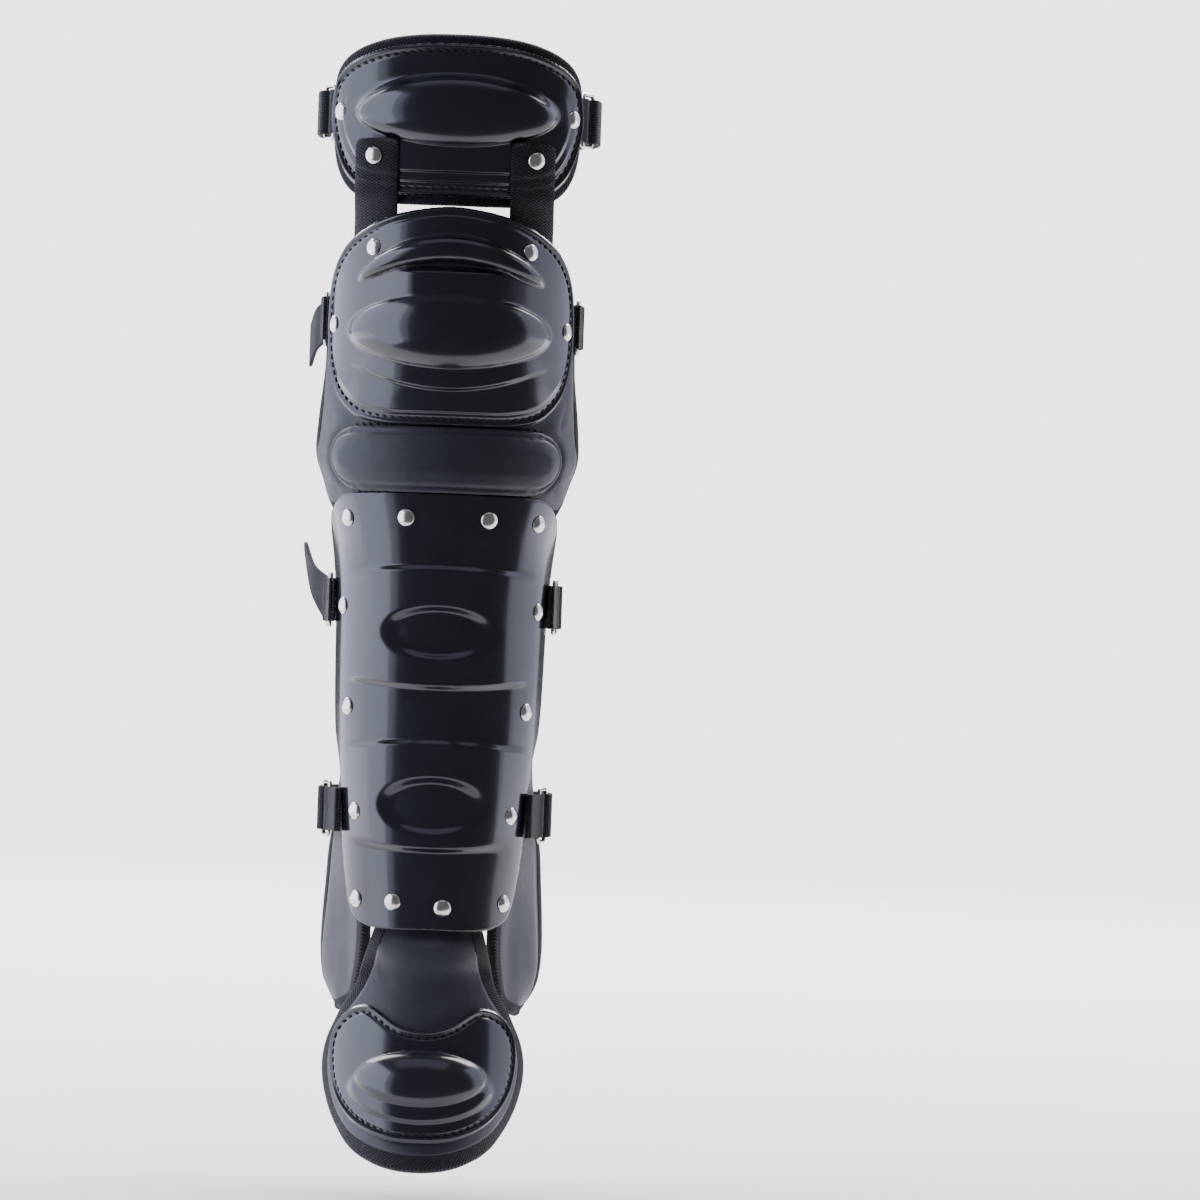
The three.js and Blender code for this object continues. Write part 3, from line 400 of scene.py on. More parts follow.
def edge_distance(wrap, outline, side, height):
    """Distance along the surface from each cell to the outline."""
    turn = np.radians(np.minimum(np.abs(side), 90))
    rate = np.radians(np.hypot(wrap.half(height) * np.cos(turn), wrap.deep(height) * np.sin(turn)))
    nearest = np.full(side.shape, np.inf)
    for there_side, there_height in zip(outline.sides[::3], outline.heights[::3]):
        gap = np.hypot((side - there_side) * rate, height - there_height)
        nearest = np.minimum(nearest, gap)
    return nearest


def oval(across, height, middle, half_wide, half_high, soft):
    """1 within an oval and 0 outside it, with a soft edge."""
    reach = np.hypot(across / half_wide, (height - middle) / half_high)
    return 1 - ramp(reach, 1 - soft, 1)


def dome(reach, power, foot):
    """A swelling with a rounded top whose side ends in a crisp foot."""
    return clamp(1 - reach**2) ** power * (1 - ramp(reach, foot, 1))


def join(first, second, soft=1.0):
    """The higher of two reliefs, with a soft crease between them."""
    return (first + second + np.sqrt((first - second) ** 2 + soft**2) - soft) / 2


THIGH_TALL = THIGH_TOP - THIGH_BOTTOM
THIGH_BUMP_MIDDLE = THIGH_BOTTOM + THIGH_TALL * 0.575


def thigh_relief(across, height, inside):
    upper = ramp(height, THIGH_BUMP_MIDDLE - 10, THIGH_BUMP_MIDDLE + 16)
    reach = np.hypot(across / (THIGH_HALF * 0.83),
                     (height - THIGH_BUMP_MIDDLE) / (THIGH_TALL * 0.26))
    bump = 13.5 * dome(reach, 0.5 + 0.3 * upper, 0.88 - 0.18 * upper)
    lips = ramp(inside, 7.4, 9.0) + ramp(inside, 13.4, 15.2)
    steps = 1.9 * lips * (1 - ramp(height, THIGH_BUMP_MIDDLE - 18, THIGH_BUMP_MIDDLE + 14))
    return join(bump, steps, 1.2)


KNEE_TALL = KNEE_TOP - KNEE_BOTTOM
KNEE_BUMP_MIDDLE = KNEE_BOTTOM + KNEE_TALL * 0.435


def knee_relief(across, height, inside):
    spread_out = np.abs(across) / (KNEE_HALF * 0.84)
    reach = np.hypot(across / (KNEE_HALF * 0.83),
                     (height - KNEE_BUMP_MIDDLE) / (KNEE_TALL * 0.182))
    bump = 12.5 * dome(reach, 0.55, 0.86)
    crest = KNEE_BOTTOM + KNEE_TALL * (0.806 - 0.19 * spread_out**2)
    thick = KNEE_TALL * (0.074 - 0.03 * clamp(spread_out) ** 2)
    crest_reach = np.sqrt((np.abs(across) / (KNEE_HALF * 0.75)) ** 6
                          + ((height - crest) / thick) ** 2)
    crescent = (10.5 - 3.5 * spread_out**2) * dome(crest_reach, 0.6, 0.7)
    middle = KNEE_BOTTOM + KNEE_TALL * 0.62
    saddle = 6.2 * (1 - ramp(spread_out, 0.3, 0.84)) * (1 - ramp(np.abs(height - middle), 8, 17))
    line = KNEE_BOTTOM + KNEE_TALL * (0.172 + 0.13 * spread_out**2)
    step = 2.6 * ramp(height, line - 1.3, line + 1.3) * (1 - ramp(spread_out, 0.45, 0.95))
    lip = 1.8 * ramp(inside, 7.4, 8.8) * (1 - ramp(height, KNEE_BUMP_MIDDLE - 16,
                                                   KNEE_BUMP_MIDDLE + 18))
    return join(join(bump, crescent, 0.8), join(saddle, step + lip, 1.0), 2.0)


SHIN_TALL = SHIN_TOP - SHIN_BOTTOM
PANELS = [(0.833, 0.556, 0.683, 0.57, 0.066), (0.433, 0.183, 0.286, 0.58, 0.071)]


def shin_relief(across, height, inside):
    wide = leg_wrap.half(height)
    spread_out = np.abs(across) / wide
    rise = np.zeros_like(across)
    for panel_top, panel_bottom, dish_middle, dish_wide, dish_high in PANELS:
        bow = 0.02 * spread_out**2
        top = SHIN_BOTTOM + SHIN_TALL * (panel_top - bow)
        bottom = SHIN_BOTTOM + SHIN_TALL * (panel_bottom + bow)
        within = ramp(height - bottom, -2, 2.2) * (1 - ramp(height - top, -2.2, 2))
        sides = 1 - ramp(spread_out, 0.45, 0.9)
        dish = oval(across, height, SHIN_BOTTOM + SHIN_TALL * dish_middle, wide * dish_wide,
                    SHIN_TALL * dish_high, 0.34)
        rise = rise + 2.6 * within * sides - 3.8 * dish
    return rise


FOOT_TALL = FOOT_TOP - FOOT_BOTTOM


def foot_relief(across, height, inside):
    middle = FOOT_BOTTOM + FOOT_TALL * 0.453
    reach = np.hypot(across / (FOOT_HALF * 0.66), (height - middle) / (FOOT_TALL * 0.22))
    bump = 10 * dome(reach, 0.55, 0.88)
    apron = 2.8 * oval(across, height, middle - 5, FOOT_HALF * 0.74, FOOT_TALL * 0.265, 0.16)
    apron = apron * (1 - ramp(height, middle - 8, middle + 5))
    return join(bump, apron, 0.8)


# How far inside a plate's edge its seam and the groove of its rim run, and their depth
SEAM_INSET, RIM_INSET, GROOVE = 4.5, 1.9, 0.8
# The share of a plate, from its edge inwards, that has the finest rings of cells
RIM_SHARE = 0.13


def plate(name, wrap, outline, relief, across, up, sewn):
    """A moulded plate of even wall, with a rounded rim and a sewn groove round it."""
    side, height, share = ring_sites(outline, across, up, RIM_SHARE)
    base = wrap.at(side, height)
    inside = np.where(share >= 0.9999, 0, edge_distance(wrap, outline, side, height))
    rise = relief(base[..., 0], height, inside)
    groove = sewn * GROOVE * (hump(inside - SEAM_INSET, 0.9) - hump(inside - RIM_INSET, 0.85))
    radius = WALL / 2
    near = clamp(radius - inside, radius)
    rounding = radius - np.sqrt(radius**2 - near**2)
    front = wrap.offset(side, height, rise - groove - rounding)
    back = wrap.offset(side, height, rise - WALL + rounding)
    return sheet_mesh(name, front, back)


thigh_outline = Outline(THIGH_EDGE, 76.5, THIGH_TOP, THIGH_BOTTOM, 0.48)
knee_outline = Outline(KNEE_EDGE, 75, KNEE_TOP, KNEE_BOTTOM, 0.47)
shin_outline = Outline(SHIN_EDGE, 92, SHIN_TOP, SHIN_BOTTOM, 0.5)
foot_outline = Outline(FOOT_EDGE, 66, FOOT_TOP, FOOT_BOTTOM, 0.45)


# Rings of one stitch: share of its length, share of its thickness, and how deep it sinks
STITCH_RINGS = [(0, 0.25, 0.3), (0.16, 0.85, 0), (0.5, 1, -0.1), (0.84, 0.85, 0), (1, 0.25, 0.3)]
STITCH_SIDES = 8


def point_on(run, line, at):
    return np.array([np.interp(at, run, line[:, k]) for k in range(3)])


def stitch_row(name, line, out, long, gap, thick, slant):
    """Short rounded stitches that lie along a line on a surface."""
    run = run_along(line)
    count = max(int(run[-1] // (long + gap)), 1)
    points, faces, uvs = [], [], []
    for index in range(count):
        middle = (index + 0.5) * run[-1] / count
        first, last = (point_on(run, line, middle + way * long / 2) for way in (-1, 1))
        lift = unit(point_on(run, out, middle))
        aside = np.cross(lift, unit(last - first))
        first += aside * slant * long / 2
        last -= aside * slant * long / 2
        start = len(points)
        for share, wide, sink in STITCH_RINGS:
            centre = first + (last - first) * share - lift * thick * sink
            for step in range(STITCH_SIDES):
                angle = step * 2 * pi / STITCH_SIDES
                points.append(centre + (aside * cos(angle) + lift * sin(angle)) * thick * wide)
                uvs.append((share * long * mm, step * thick * 0.8 * mm))
        faces += grid_faces(len(STITCH_RINGS), STITCH_SIDES, start, close=True)
        faces.append(tuple(range(start, start + STITCH_SIDES))[::-1])
        faces.append(tuple(range(len(points) - STITCH_SIDES, len(points))))
    return new_object(name, points, faces, uvs)


def inset_line(wrap, outline, inset, lift):
    """A line that runs a set distance inside an outline, and the way out along it."""
    points = wrap.at(outline.sides, outline.heights)
    out = wrap.out(outline.sides, outline.heights)
    along = np.roll(points, -1, 0) - np.roll(points, 1, 0)
    inwards = unit(np.cross(along, out))
    centre = wrap.at(0, outline.middle)
    if np.sum(inwards * (centre - points)) < 0:
        inwards = -inwards
    line = smooth_loop(points + inwards * inset, 12) + out * lift
    line = np.concatenate([line, line[:1]])
    return line, np.concatenate([out, out[:1]])


def smooth_loop(points, rounds):
    for _ in range(rounds):
        points = (np.roll(points, 1, 0) + 2 * points + np.roll(points, -1, 0)) / 4
    return points


class Nodes:
    """Short names for building a material's nodes."""

    def __init__(self, name):
        self.material = bpy.data.materials.new(name)
        self.material.use_nodes = True
        self.tree = self.material.node_tree
        self.shader = self.tree.nodes["Principled BSDF"]

    def fill(self, node, inputs):
        """Set inputs by name or number; one that is given an output is linked to it."""
        for key, value in inputs.items():
            socket = node.inputs[key.replace("_", " ") if isinstance(key, str) else key]
            if isinstance(value, bpy.types.NodeSocket):
                self.tree.links.new(value, socket)
            else:
                socket.default_value = value
        return node

    def add(self, kind, **inputs):
        return self.fill(self.tree.nodes.new(kind), inputs)

    def set(self, **inputs):
        """Fill the shader's inputs, and return the material."""
        self.fill(self.shader, inputs)
        return self.material

    def coords(self, kind="Object"):
        return self.add("ShaderNodeTexCoord").outputs[kind]

    def noise(self, scale, detail=4, roughness=0.5):
        return self.add("ShaderNodeTexNoise", Vector=self.coords(), Scale=scale,
                        Detail=detail, Roughness=roughness).outputs["Fac"]

    def ramp(self, source, rows):
        node = self.add("ShaderNodeValToRGB", Fac=source)
        while len(node.color_ramp.elements) < len(rows):
            node.color_ramp.elements.new(0.5)
        for element, (at, colour) in zip(node.color_ramp.elements, rows):
            element.position = at
            element.color = (*colour, 1)
        return node.outputs["Color"]

    def scale(self, source, low, high):
        return self.add("ShaderNodeMapRange", Value=source, To_Min=low,
                        To_Max=high).outputs["Result"]

    def math(self, operation, *values):
        node = self.fill(self.tree.nodes.new("ShaderNodeMath"), dict(enumerate(values)))
        node.operation = operation
        return node.outputs[0]

    def bump(self, height, distance, strength, **below):
        """A bump; below gives the Normal that it is laid over."""
        return self.add("ShaderNodeBump", Height=height, Distance=distance, Strength=strength,
                        **below).outputs["Normal"]


def gloss_shell():
    n = Nodes("gloss_shell")
    ripple = n.bump(n.noise(28, 2), 0.0004, 0.35)
    return n.set(
        Base_Color=n.ramp(n.noise(35, 3), [(0.3, (0.007, 0.0075, 0.011)),
                                           (0.7, (0.011, 0.012, 0.017))]),
        Roughness=n.scale(n.noise(60, 5), 0.15, 0.25),
        Normal=n.bump(n.noise(900, 2), 0.00004, 0.35, Normal=ripple),
        Coat_Weight=0.45, Coat_Roughness=0.09, IOR=1.5)


def grained(name, dark, light, rough, grain_scale):
    n = Nodes(name)
    cells = n.add("ShaderNodeTexVoronoi", Vector=n.coords(), Scale=grain_scale)
    cells.feature = "DISTANCE_TO_EDGE"
    grain = n.bump(n.scale(cells.outputs["Distance"], 0, 1), 0.00035, 0.5)
    return n.set(
        Base_Color=n.ramp(n.noise(45, 4), [(0.3, dark), (0.7, light)]),
        Roughness=n.scale(n.noise(120, 4), rough - 0.07, rough + 0.07),
        Normal=n.bump(n.noise(70, 6, 0.6), 0.0012, 0.35, Normal=grain),
        Sheen_Weight=0.15, Sheen_Roughness=0.5, IOR=1.45)


def stripes(n, along, across, period, fold=False):
    """Soft stripes over a band; fold mirrors them about the band's middle."""
    parts = n.add("ShaderNodeSeparateXYZ", Vector=n.coords("UV"))
    side = parts.outputs["Y"]
    if fold:
        side = n.math("ABSOLUTE", side)
    first = n.math("MULTIPLY", parts.outputs["X"], along * 2 * pi / (period * mm))
    second = n.math("MULTIPLY", side, across * 2 * pi / (period * mm))
    wave = n.math("SINE", n.math("ADD", first, second))
    return n.math("MULTIPLY_ADD", wave, 0.5, 0.5)


def cloth(name, dark, light, threads, deep, rough=0.85):
    """Woven cloth: each thread run lowers its gaps and darkens them with painted shade."""
    n = Nodes(name)
    height = None
    for along, across, period, fold, power in threads:
        wave = n.math("POWER", stripes(n, along, across, period, fold), power)
        height = wave if height is None else n.math("MULTIPLY", height, wave)
    height = n.math("MULTIPLY_ADD", n.noise(2500, 2), 0.25, height)
    return n.set(
        # Colour follows the weave's height: painted shade darkens the low gaps between threads,
        # and the noise adds random tone.
        Base_Color=n.ramp(height, [(0.12, dark), (0.95, light)]),
        Normal=n.bump(height, deep * mm, 0.9), Roughness=rough, Sheen_Weight=0.2,
        Sheen_Roughness=0.4, Specular_IOR_Level=0.3)


def nickel_plate():
    n = Nodes("nickel_plate")
    return n.set(
        Base_Color=n.ramp(n.noise(250, 3), [(0.3, (0.62, 0.59, 0.55)),
                                            (0.7, (0.78, 0.75, 0.70))]),
        Roughness=n.scale(n.noise(500, 4), 0.14, 0.28), Metallic=1.0)


shell_finish = gloss_shell()
pad_finish = grained("vinyl_pad", (0.017, 0.017, 0.023), (0.026, 0.026, 0.034), 0.45, 900)
wing_finish = grained("wing_cover", (0.034, 0.035, 0.040), (0.052, 0.053, 0.060), 0.62, 1100)
tape_finish = cloth("binding_tape", (0.002, 0.002, 0.003), (0.017, 0.017, 0.020),
                    [(1, 1, 2.1, False, 0.7), (1, -1, 0.9, False, 0.3)], 0.5)
web_finish = cloth("web_nylon", (0.002, 0.002, 0.003), (0.020, 0.020, 0.023),
                   [(1, 0.6, 1.9, False, 0.5), (-1, 0.6, 1.9, False, 0.5)], 0.45)
tab_finish = cloth("tab_nylon", (0.002, 0.002, 0.003), (0.020, 0.020, 0.023),
                   [(1, 1.2, 2.0, True, 0.6)], 0.5)
elastic_finish = cloth("strap_elastic", (0.006, 0.006, 0.008), (0.030, 0.030, 0.034),
                       [(0, 1, 1.5, False, 0.4), (1, 0, 0.9, False, 0.4)], 0.35)
thread_finish = cloth("thread", (0.001, 0.001, 0.0015), (0.008, 0.008, 0.01),
                      [(1, 1, 0.6, False, 1)], 0.1, 0.55)
nickel_finish = nickel_plate()

PLATES = [
    ("thigh", thigh_wrap, thigh_outline, thigh_relief, 130, 100, 1),
    ("knee", leg_wrap, knee_outline, knee_relief, 140, 140, 1),
    ("shin", leg_wrap, shin_outline, shin_relief, 104, 250, 0),
    ("foot", foot_wrap, foot_outline, foot_relief, 120, 110, 1),
]
# Length, gap, thickness and slant of stitches, and how deep the seam of a plate lies
PLATE_STITCH, LABEL_STITCH, SEAM_SINK = (3.4, 1.5, 0.55, 0.3), (2.8, 2.0, 0.6, 0.8), 0.4
for part, *shape in PLATES:
    place(plate(f"{part}_plate", *shape), shell_finish, "shell", f"{part}_shell")
for part, wrap, outline, *_, sewn in PLATES:
    if sewn:
        seam = inset_line(wrap, outline, SEAM_INSET, -SEAM_SINK)
        place(stitch_row(f"{part}_stitches", *seam, *PLATE_STITCH), thread_finish, "shell")


def tape_round(name, front, back, width):
    """Tape folded over the rim of a pad: a soft-cornered band that runs all the way round."""
    rows, columns = front.shape[:2]
    rim = np.array(rim_indices(rows, columns))
    row = np.clip(rim // columns, 1, rows - 2)
    column = np.clip(rim % columns, 1, columns - 2)
    fronts = smooth_loop(front.reshape(-1, 3)[rim], 3)
    backs = smooth_loop(back.reshape(-1, 3)[rim], 3)
    middles = (fronts + backs) / 2
    thick = np.linalg.norm(fronts - backs, axis=1, keepdims=True)
    along = unit(np.roll(fronts, -1, 0) - np.roll(fronts, 1, 0))
    out = front.reshape(-1, 3)[rim] - front[row, column]
    for _ in range(3):
        out = smooth_loop(unit(out), 2)
        out = out - along * np.sum(out * along, axis=1, keepdims=True)
    out = unit(out)
    up = np.cross(along, out)
    up *= np.sign(np.sum(up * (fronts - backs), axis=1, keepdims=True))
    profile = []
    for turn in np.linspace(-90, 90, 9):
        profile.append((width - 2.4 + 2.4 * cos(radians(turn)),
                        sin(radians(turn))))
    profile += [(width * 0.5, 1.02), (0.5, 1.0), (-0.9, 0.94), (-0.9, -0.94), (0.5, -1.0),
                (width * 0.5, -1.02)]
    points, uvs = [], []
    run = run_along(fronts)
    for reach, rise in profile:
        bend = max(reach, 0) ** 2 * 0.009 + 0.1
        points.append(middles + out * reach + up * (rise * (thick / 2 + 0.1) - bend))
        uvs.append(np.stack([run, np.full_like(run, reach + 4 * rise)], -1) * mm)
    return tube_mesh(name, points, uvs)


def padded_piece(name, wrap, sites, thick, set_back, node, tape_node, tape_width,
                 flare=0.0, puff=0.0):
    """A bound pad; flare turns its side edges outwards, and puff swells its front."""
    side, height, share = sites
    edge = 1 + (EDGE_SHARE - 1) * ramp(share, 0.7, 1)
    front = wrap.offset(side, height, puff - set_back)
    back = wrap.offset(side, height, -set_back - thick * edge)
    for face in (front, back):
        face[..., 0] += np.sign(side) * flare
    pad = place(sheet_mesh(name, front, back), pad_finish, "padding", node)
    place(tape_round(name + "_tape", front, back, tape_width), tape_finish, "binding", tape_node)


thigh_pad_outline = Outline(THIGH_EDGE, 81, THIGH_TOP - 1, THIGH_BOTTOM, 0.48)
padded_piece("thigh_padding", thigh_wrap, ring_sites(thigh_pad_outline, 70, 50), THIGH_PAD,
             SHELL_BACK, "thigh_pad", "thigh_binding", THIN_TAPE)

BODY_TALL = BODY_TOP - BODY_BOTTOM
BODY_REACH = [
    (BODY_TOP, 30), (BODY_TOP - 10, 52), (20, 72), (-10, 80), (KNEE_BOTTOM * 0.6, 83),
    (-62, 83.6), (-74, 83.2), (-84, 82.4), (-93, 81), (-101, 78.6), (-108, 75.2), (-115, 70.8),
    (-123, 65.4), (-132, 60),
    (between(SHIN_TOP, SHIN_BOTTOM, 0.5), 54), (between(SHIN_TOP, SHIN_BOTTOM, 0.7), 42),
    (BODY_BOTTOM + 12, 40), (BODY_BOTTOM, 33),
]
body_limits = [((height - BODY_BOTTOM) / BODY_TALL, -reach, reach)
               for height, reach in BODY_REACH]
body_sites = level_sites(body_limits, BODY_TOP, BODY_BOTTOM, 90, 190)
body_side, body_up, _ = body_sites
web_recess = (WEB_THICK + SEAT + 0.3) * ramp(body_up, WEB_BOTTOM - 22, WEB_BOTTOM - 8)

label_middle = (KNEE_BOTTOM + SHIN_TOP) / 2
LABEL_HALF = LABEL_HEIGHT / 2 + 1.8
label_outline = Outline(LABEL_EDGE, 60, label_middle + LABEL_HALF, label_middle - LABEL_HALF, 0.5)

# Folds of the cover beside the label pad, as lines from one place to another
FOLDS = [
    (63, -58, 71, -46, 1.3), (64, -62, 80, -60, 1.1), (65, -84, 83, -90, 0.9),
    (64, -96, 76, -110, 1.2), (-63, -60, -72, -50, 1.0), (-65, -80, -82, -77, 0.8),
    (-64, -98, -74, -111, 1.1),
]


def body_puff(side, height):
    """The cover swells where no plate or label holds it down, and folds beside the label."""
    free = (1 - ramp(np.abs(side), 76, 83)) * ramp(height, -128, -112)
    for held, end in ((knee_outline, 1.14), (shin_outline, 1.08), (label_outline, 1.12)):
        free = free * ramp(held.share_of(side, height), 1, end)
    folds = np.zeros_like(side)
    for side_a, height_a, side_b, height_b, deep in FOLDS:
        long_side, long_up = (side_b - side_a) * 1.1, height_b - height_a
        from_side, from_up = (side - side_a) * 1.1, height - height_a
        share = (from_side * long_side + from_up * long_up) / (long_side**2 + long_up**2)
        near = clamp(share)
        gap = np.hypot(from_side - near * long_side, from_up - near * long_up)
        folds += deep * hump(gap, 1.7) * (1 - 0.6 * near)
    return free * (2.6 - folds)


body_flare = 2.6 * clamp((np.abs(body_side) - 73) / 10, 1.2) ** 2
padded_piece("body_padding", leg_wrap, body_sites, BODY_PAD,
             SHELL_BACK + web_recess, "body_pad", "body_binding", THIN_TAPE,
             body_flare, body_puff(body_side, body_up))

foot_pad_outline = Outline(FOOT_PAD_EDGE, 74, FOOT_PAD_TOP, FOOT_PAD_BOTTOM, 0.36)
foot_sites = ring_sites(foot_pad_outline, 60, 70)
padded_piece("foot_padding", foot_wrap, foot_sites, FOOT_PAD, SHELL_BACK, "foot_pad",
             "foot_binding", WIDE_TAPE, 1.8 * clamp((np.abs(foot_sites[0]) - 58) / 16) ** 2)

# Label pad
label_spots = ring_sites(label_outline, 120, 36)[:2]
label_inside = edge_distance(leg_wrap, label_outline, *label_spots)
label_swell = LABEL_THICK * (0.3 + 0.7 * np.sqrt(clamp(label_inside / 12)))
label_swell -= 1.2 * hump(label_inside - 3.5, 0.9)
label = sheet_mesh("label_bar",
                   leg_wrap.offset(*label_spots, SHEET - SHELL_BACK + label_swell),
                   leg_wrap.offset(*label_spots, SHEET - SHELL_BACK))
place(label, pad_finish, "padding", "label_pad")
seam = inset_line(leg_wrap, label_outline, -0.7, 0.9 - SHELL_BACK)
place(stitch_row("label_stitches", *seam, *LABEL_STITCH), thread_finish, "padding")

# Wings
WING_LIMITS = [
    (1, 98, 112), (0.955, 92, 125), (0.9, 84, 132), (0.8, 76, 138), (0.6, 72, 141),
    (0.4, 62, 138), (0.24, 60, 146), (0.12, 61, 150), (0.07, 65, 146), (0.035, 71, 140),
    (0.015, 78, 131), (0.005, 87, 120), (0, 96, 110),
]
wing_rear = read_table([row[0] for row in WING_LIMITS], [row[2] for row in WING_LIMITS])
flare_share = read_table([1, 0.6, 0.37, 0.14, 0], [0, 0.1, 0.37, 1, 1])


def wing_place(side, height, outwards):
    """The leg's surface, flared and curled as the wings leave the plate, tucked in below."""
    spot = leg_wrap.offset(side, height, outwards)
    up = (height - WING_BOTTOM) / (WING_TOP - WING_BOTTOM)
    plate_end = 72 + 23 * ramp(up, 0.38, 0.5)
    share = clamp((np.abs(side) - plate_end) / 45)
    flare = (WING_FLARE - 3) * flare_share(up) * share * share * (3 - 2 * share)
    low = 1 - ramp(up, 0.3, 0.55)
    curl = WING_CURL * (1 - 0.85 * low) * np.maximum(0, (np.abs(side) - 108) / 42) ** 2
    lip = 2.8 * low * clamp((np.abs(side) - wing_rear(up) + 12) / 12, 1.2) ** 2
    tuck = 7 * clamp((WING_BOTTOM + 36 - height) / 30) ** 2.6 * ramp(np.abs(side), 88, 112)
    spot[..., 0] += np.sign(side) * (flare - curl + lip - tuck)
    return spot


for hand, which in HANDS:
    limits = [(up, hand * front, hand * rear) for up, front, rear in WING_LIMITS]
    side, height, share = level_sites(limits, WING_TOP - THIN_TAPE, WING_BOTTOM + THIN_TAPE,
                                      36, 120)
    thin = 1 - 0.25 * ramp(share, 0.6, 1)
    front = wing_place(side, height, -SHELL_BACK - 0.2)
    back = wing_place(side, height, -SHELL_BACK - 0.2 - WING_THICK * thin)
    wing = place(sheet_mesh(f"wing_flap_{which}", front, back), wing_finish, "wing",
                 f"wing_{which}")
    place(tape_round(f"wing_tape_{which}", front, back, THIN_TAPE), tape_finish, "binding",
          f"wing_binding_{which}")


def relief_near(across, height, reach):
    """The highest relief of the thigh plate within a reach of each place."""
    highest = np.zeros_like(across)
    for aside in (-reach, 0, reach):
        for above in (-reach, 0, reach):
            side = thigh_wrap.side_of(across + aside, height + above)
            inside = edge_distance(thigh_wrap, thigh_outline, side, height + above)
            inside = np.where(thigh_outline.share_of(side, height + above) > 1, 0, inside)
            highest = np.maximum(highest, thigh_relief(across + aside, height + above, inside))
    return highest


def web_place(hand, across, height, thick):
    """The web lies on the thigh plate, then dips straight down behind the knee plate."""
    depths = []
    for wrap, lift in ((thigh_wrap, relief_near(across, height, 3) + 0.4 + thick),
                       (leg_wrap, thick - SHELL_BACK - WEB_THICK)):
        side = wrap.side_of(across, height)
        depths.append(wrap.at(side, height)[..., 1] + lift / wrap.out(side, height)[..., 1])
    on_thigh = ramp(height, KNEE_TOP - 9, THIGH_BOTTOM + 3)
    depth = depths[1] + (depths[0] - depths[1]) * on_thigh
    return np.stack([hand * across, depth, height], -1)


# Webs between the thigh plate and the knee plate
for hand, which in HANDS:
    u, v = np.meshgrid(np.linspace(-1, 1, 25), np.linspace(0, 1, 70))
    height = WEB_BOTTOM + (WEB_TOP - WEB_BOTTOM) * v
    from_top = (WEB_TOP - height) / 5
    rounding = np.sqrt(clamp(1 - (1 - from_top) ** 2))
    trim = np.where(from_top < 1, 0.72 + 0.28 * rounding, 1)
    across = WEB_OFFSET + u * trim * WEB_WIDE / 2
    belly = 0.7 * (1 - u**4)
    front = web_place(hand, across, height, WEB_THICK * (0.3 + belly))
    back = web_place(hand, across, height, 0)
    place(sheet_mesh(f"web_band_{which}", front, back), web_finish, "webbing", f"web_{which}")


# A pointed strap end: its least width, as a share, and the length over which it widens
TIP_WIDTH, TIP_LENGTH = 0.14, 36


def band_mesh(name, path, wide, thick, steps=8, point=0):
    """An upright band with soft edges along a smooth path; point narrows its first end."""
    path = np.asarray(path, float)
    line = spline(np.concatenate([path[:1], path, path[-1:]]), steps)
    line = np.concatenate([line, path[-1:]])
    along = np.gradient(line, axis=0)
    along[:, 2] = 0
    along = unit(along)
    sideways = np.stack([along[:, 1], -along[:, 0], np.zeros(len(line))], -1)
    run = run_along(line)
    half, deep = wide / 2, thick / 2
    profile = []
    for hand in (-1, 1):
        profile += [(hand * (half - 0.5), -hand * deep), (hand * half, -hand * deep * 0.4),
                    (hand * half, hand * deep * 0.4), (hand * (half - 0.5), hand * deep)]
        profile += [(hand * x, hand * deep) for x in np.linspace(half - 1, -half + 1, 8)]
    keep = np.ones_like(run)
    if point:
        keep = TIP_WIDTH + (1 - TIP_WIDTH) * clamp(run / TIP_LENGTH) ** 0.8
    points, uvs = [], []
    for rise, out in profile:
        spot = line + sideways * out
        spot[:, 2] += point * half + (rise - point * half) * keep
        points.append(spot)
        uvs.append(np.stack([run, np.full_like(run, rise)], -1) * mm)
    return tube_mesh(name, points, uvs, loop=False)


BAR_REACH, RING_CORNER = (RING_LONG - WIRE) / 2, 2.4


def ring_mesh(name, middle, along):
    """A wire bent into a rounded rectangle."""
    half_long, half_high = BAR_REACH - RING_CORNER, (RING_HIGH - WIRE) / 2 - RING_CORNER
    path = []
    for sign_long, sign_high, start in ((1, 1, 0), (-1, 1, 90), (-1, -1, 180), (1, -1, 270)):
        for turn in np.radians(np.linspace(start, start + 90, 9)):
            path.append((sign_long * half_long + RING_CORNER * cos(turn),
                         sign_high * half_high + RING_CORNER * sin(turn)))
    path = np.array(path)
    tangent = unit(np.roll(path, -1, 0) - np.roll(path, 1, 0))
    rings = []
    for angle in np.linspace(0, 2 * pi, 14, endpoint=False):
        plane, off = cos(angle) * WIRE / 2, sin(angle) * WIRE / 2
        long = path[:, 0] + tangent[:, 1] * plane
        high = path[:, 1] - tangent[:, 0] * plane
        rings.append(middle + np.outer(long, along) + off * level_normal(along)
                     + np.outer(high, [0, 0, 1]))
    return tube_mesh(name, rings)


def round_bar(bar, along, outwards, radius, count=7):
    """Points half round a bar, for webbing that folds over it."""
    turns = np.radians(np.linspace(90, -90, count))
    return [bar + outwards * radius * sin(t) + along * radius * cos(t) for t in turns]


OVERLAY = SEAT + TAB_THICK + 0.3
# Name, height, surface, where and how far out the tabs start, how far out and back the rings
# sit, and the length of the tail and its way up or down
STRAPS = [
    ("thigh", 120, thigh_wrap, 97.8, -SHELL_BACK - 3.6, 0, 13, 0, 0),
    ("knee", 0, leg_wrap, 76.2, 1.2, -0.6, 15, 26, -1),
    ("upper_calf", -164, leg_wrap, 78, OVERLAY + 0.3, 4, 24, 38, 1),
    ("lower_calf", -286, leg_wrap, 65.5, OVERLAY + 0.5, 5.5, 22, 0, 0),
]
TAB_TURN = WIRE / 2 + SEAT + TAB_THICK / 2
STRAP_TURN = WIRE / 2 + SEAT + STRAP_THICK / 2
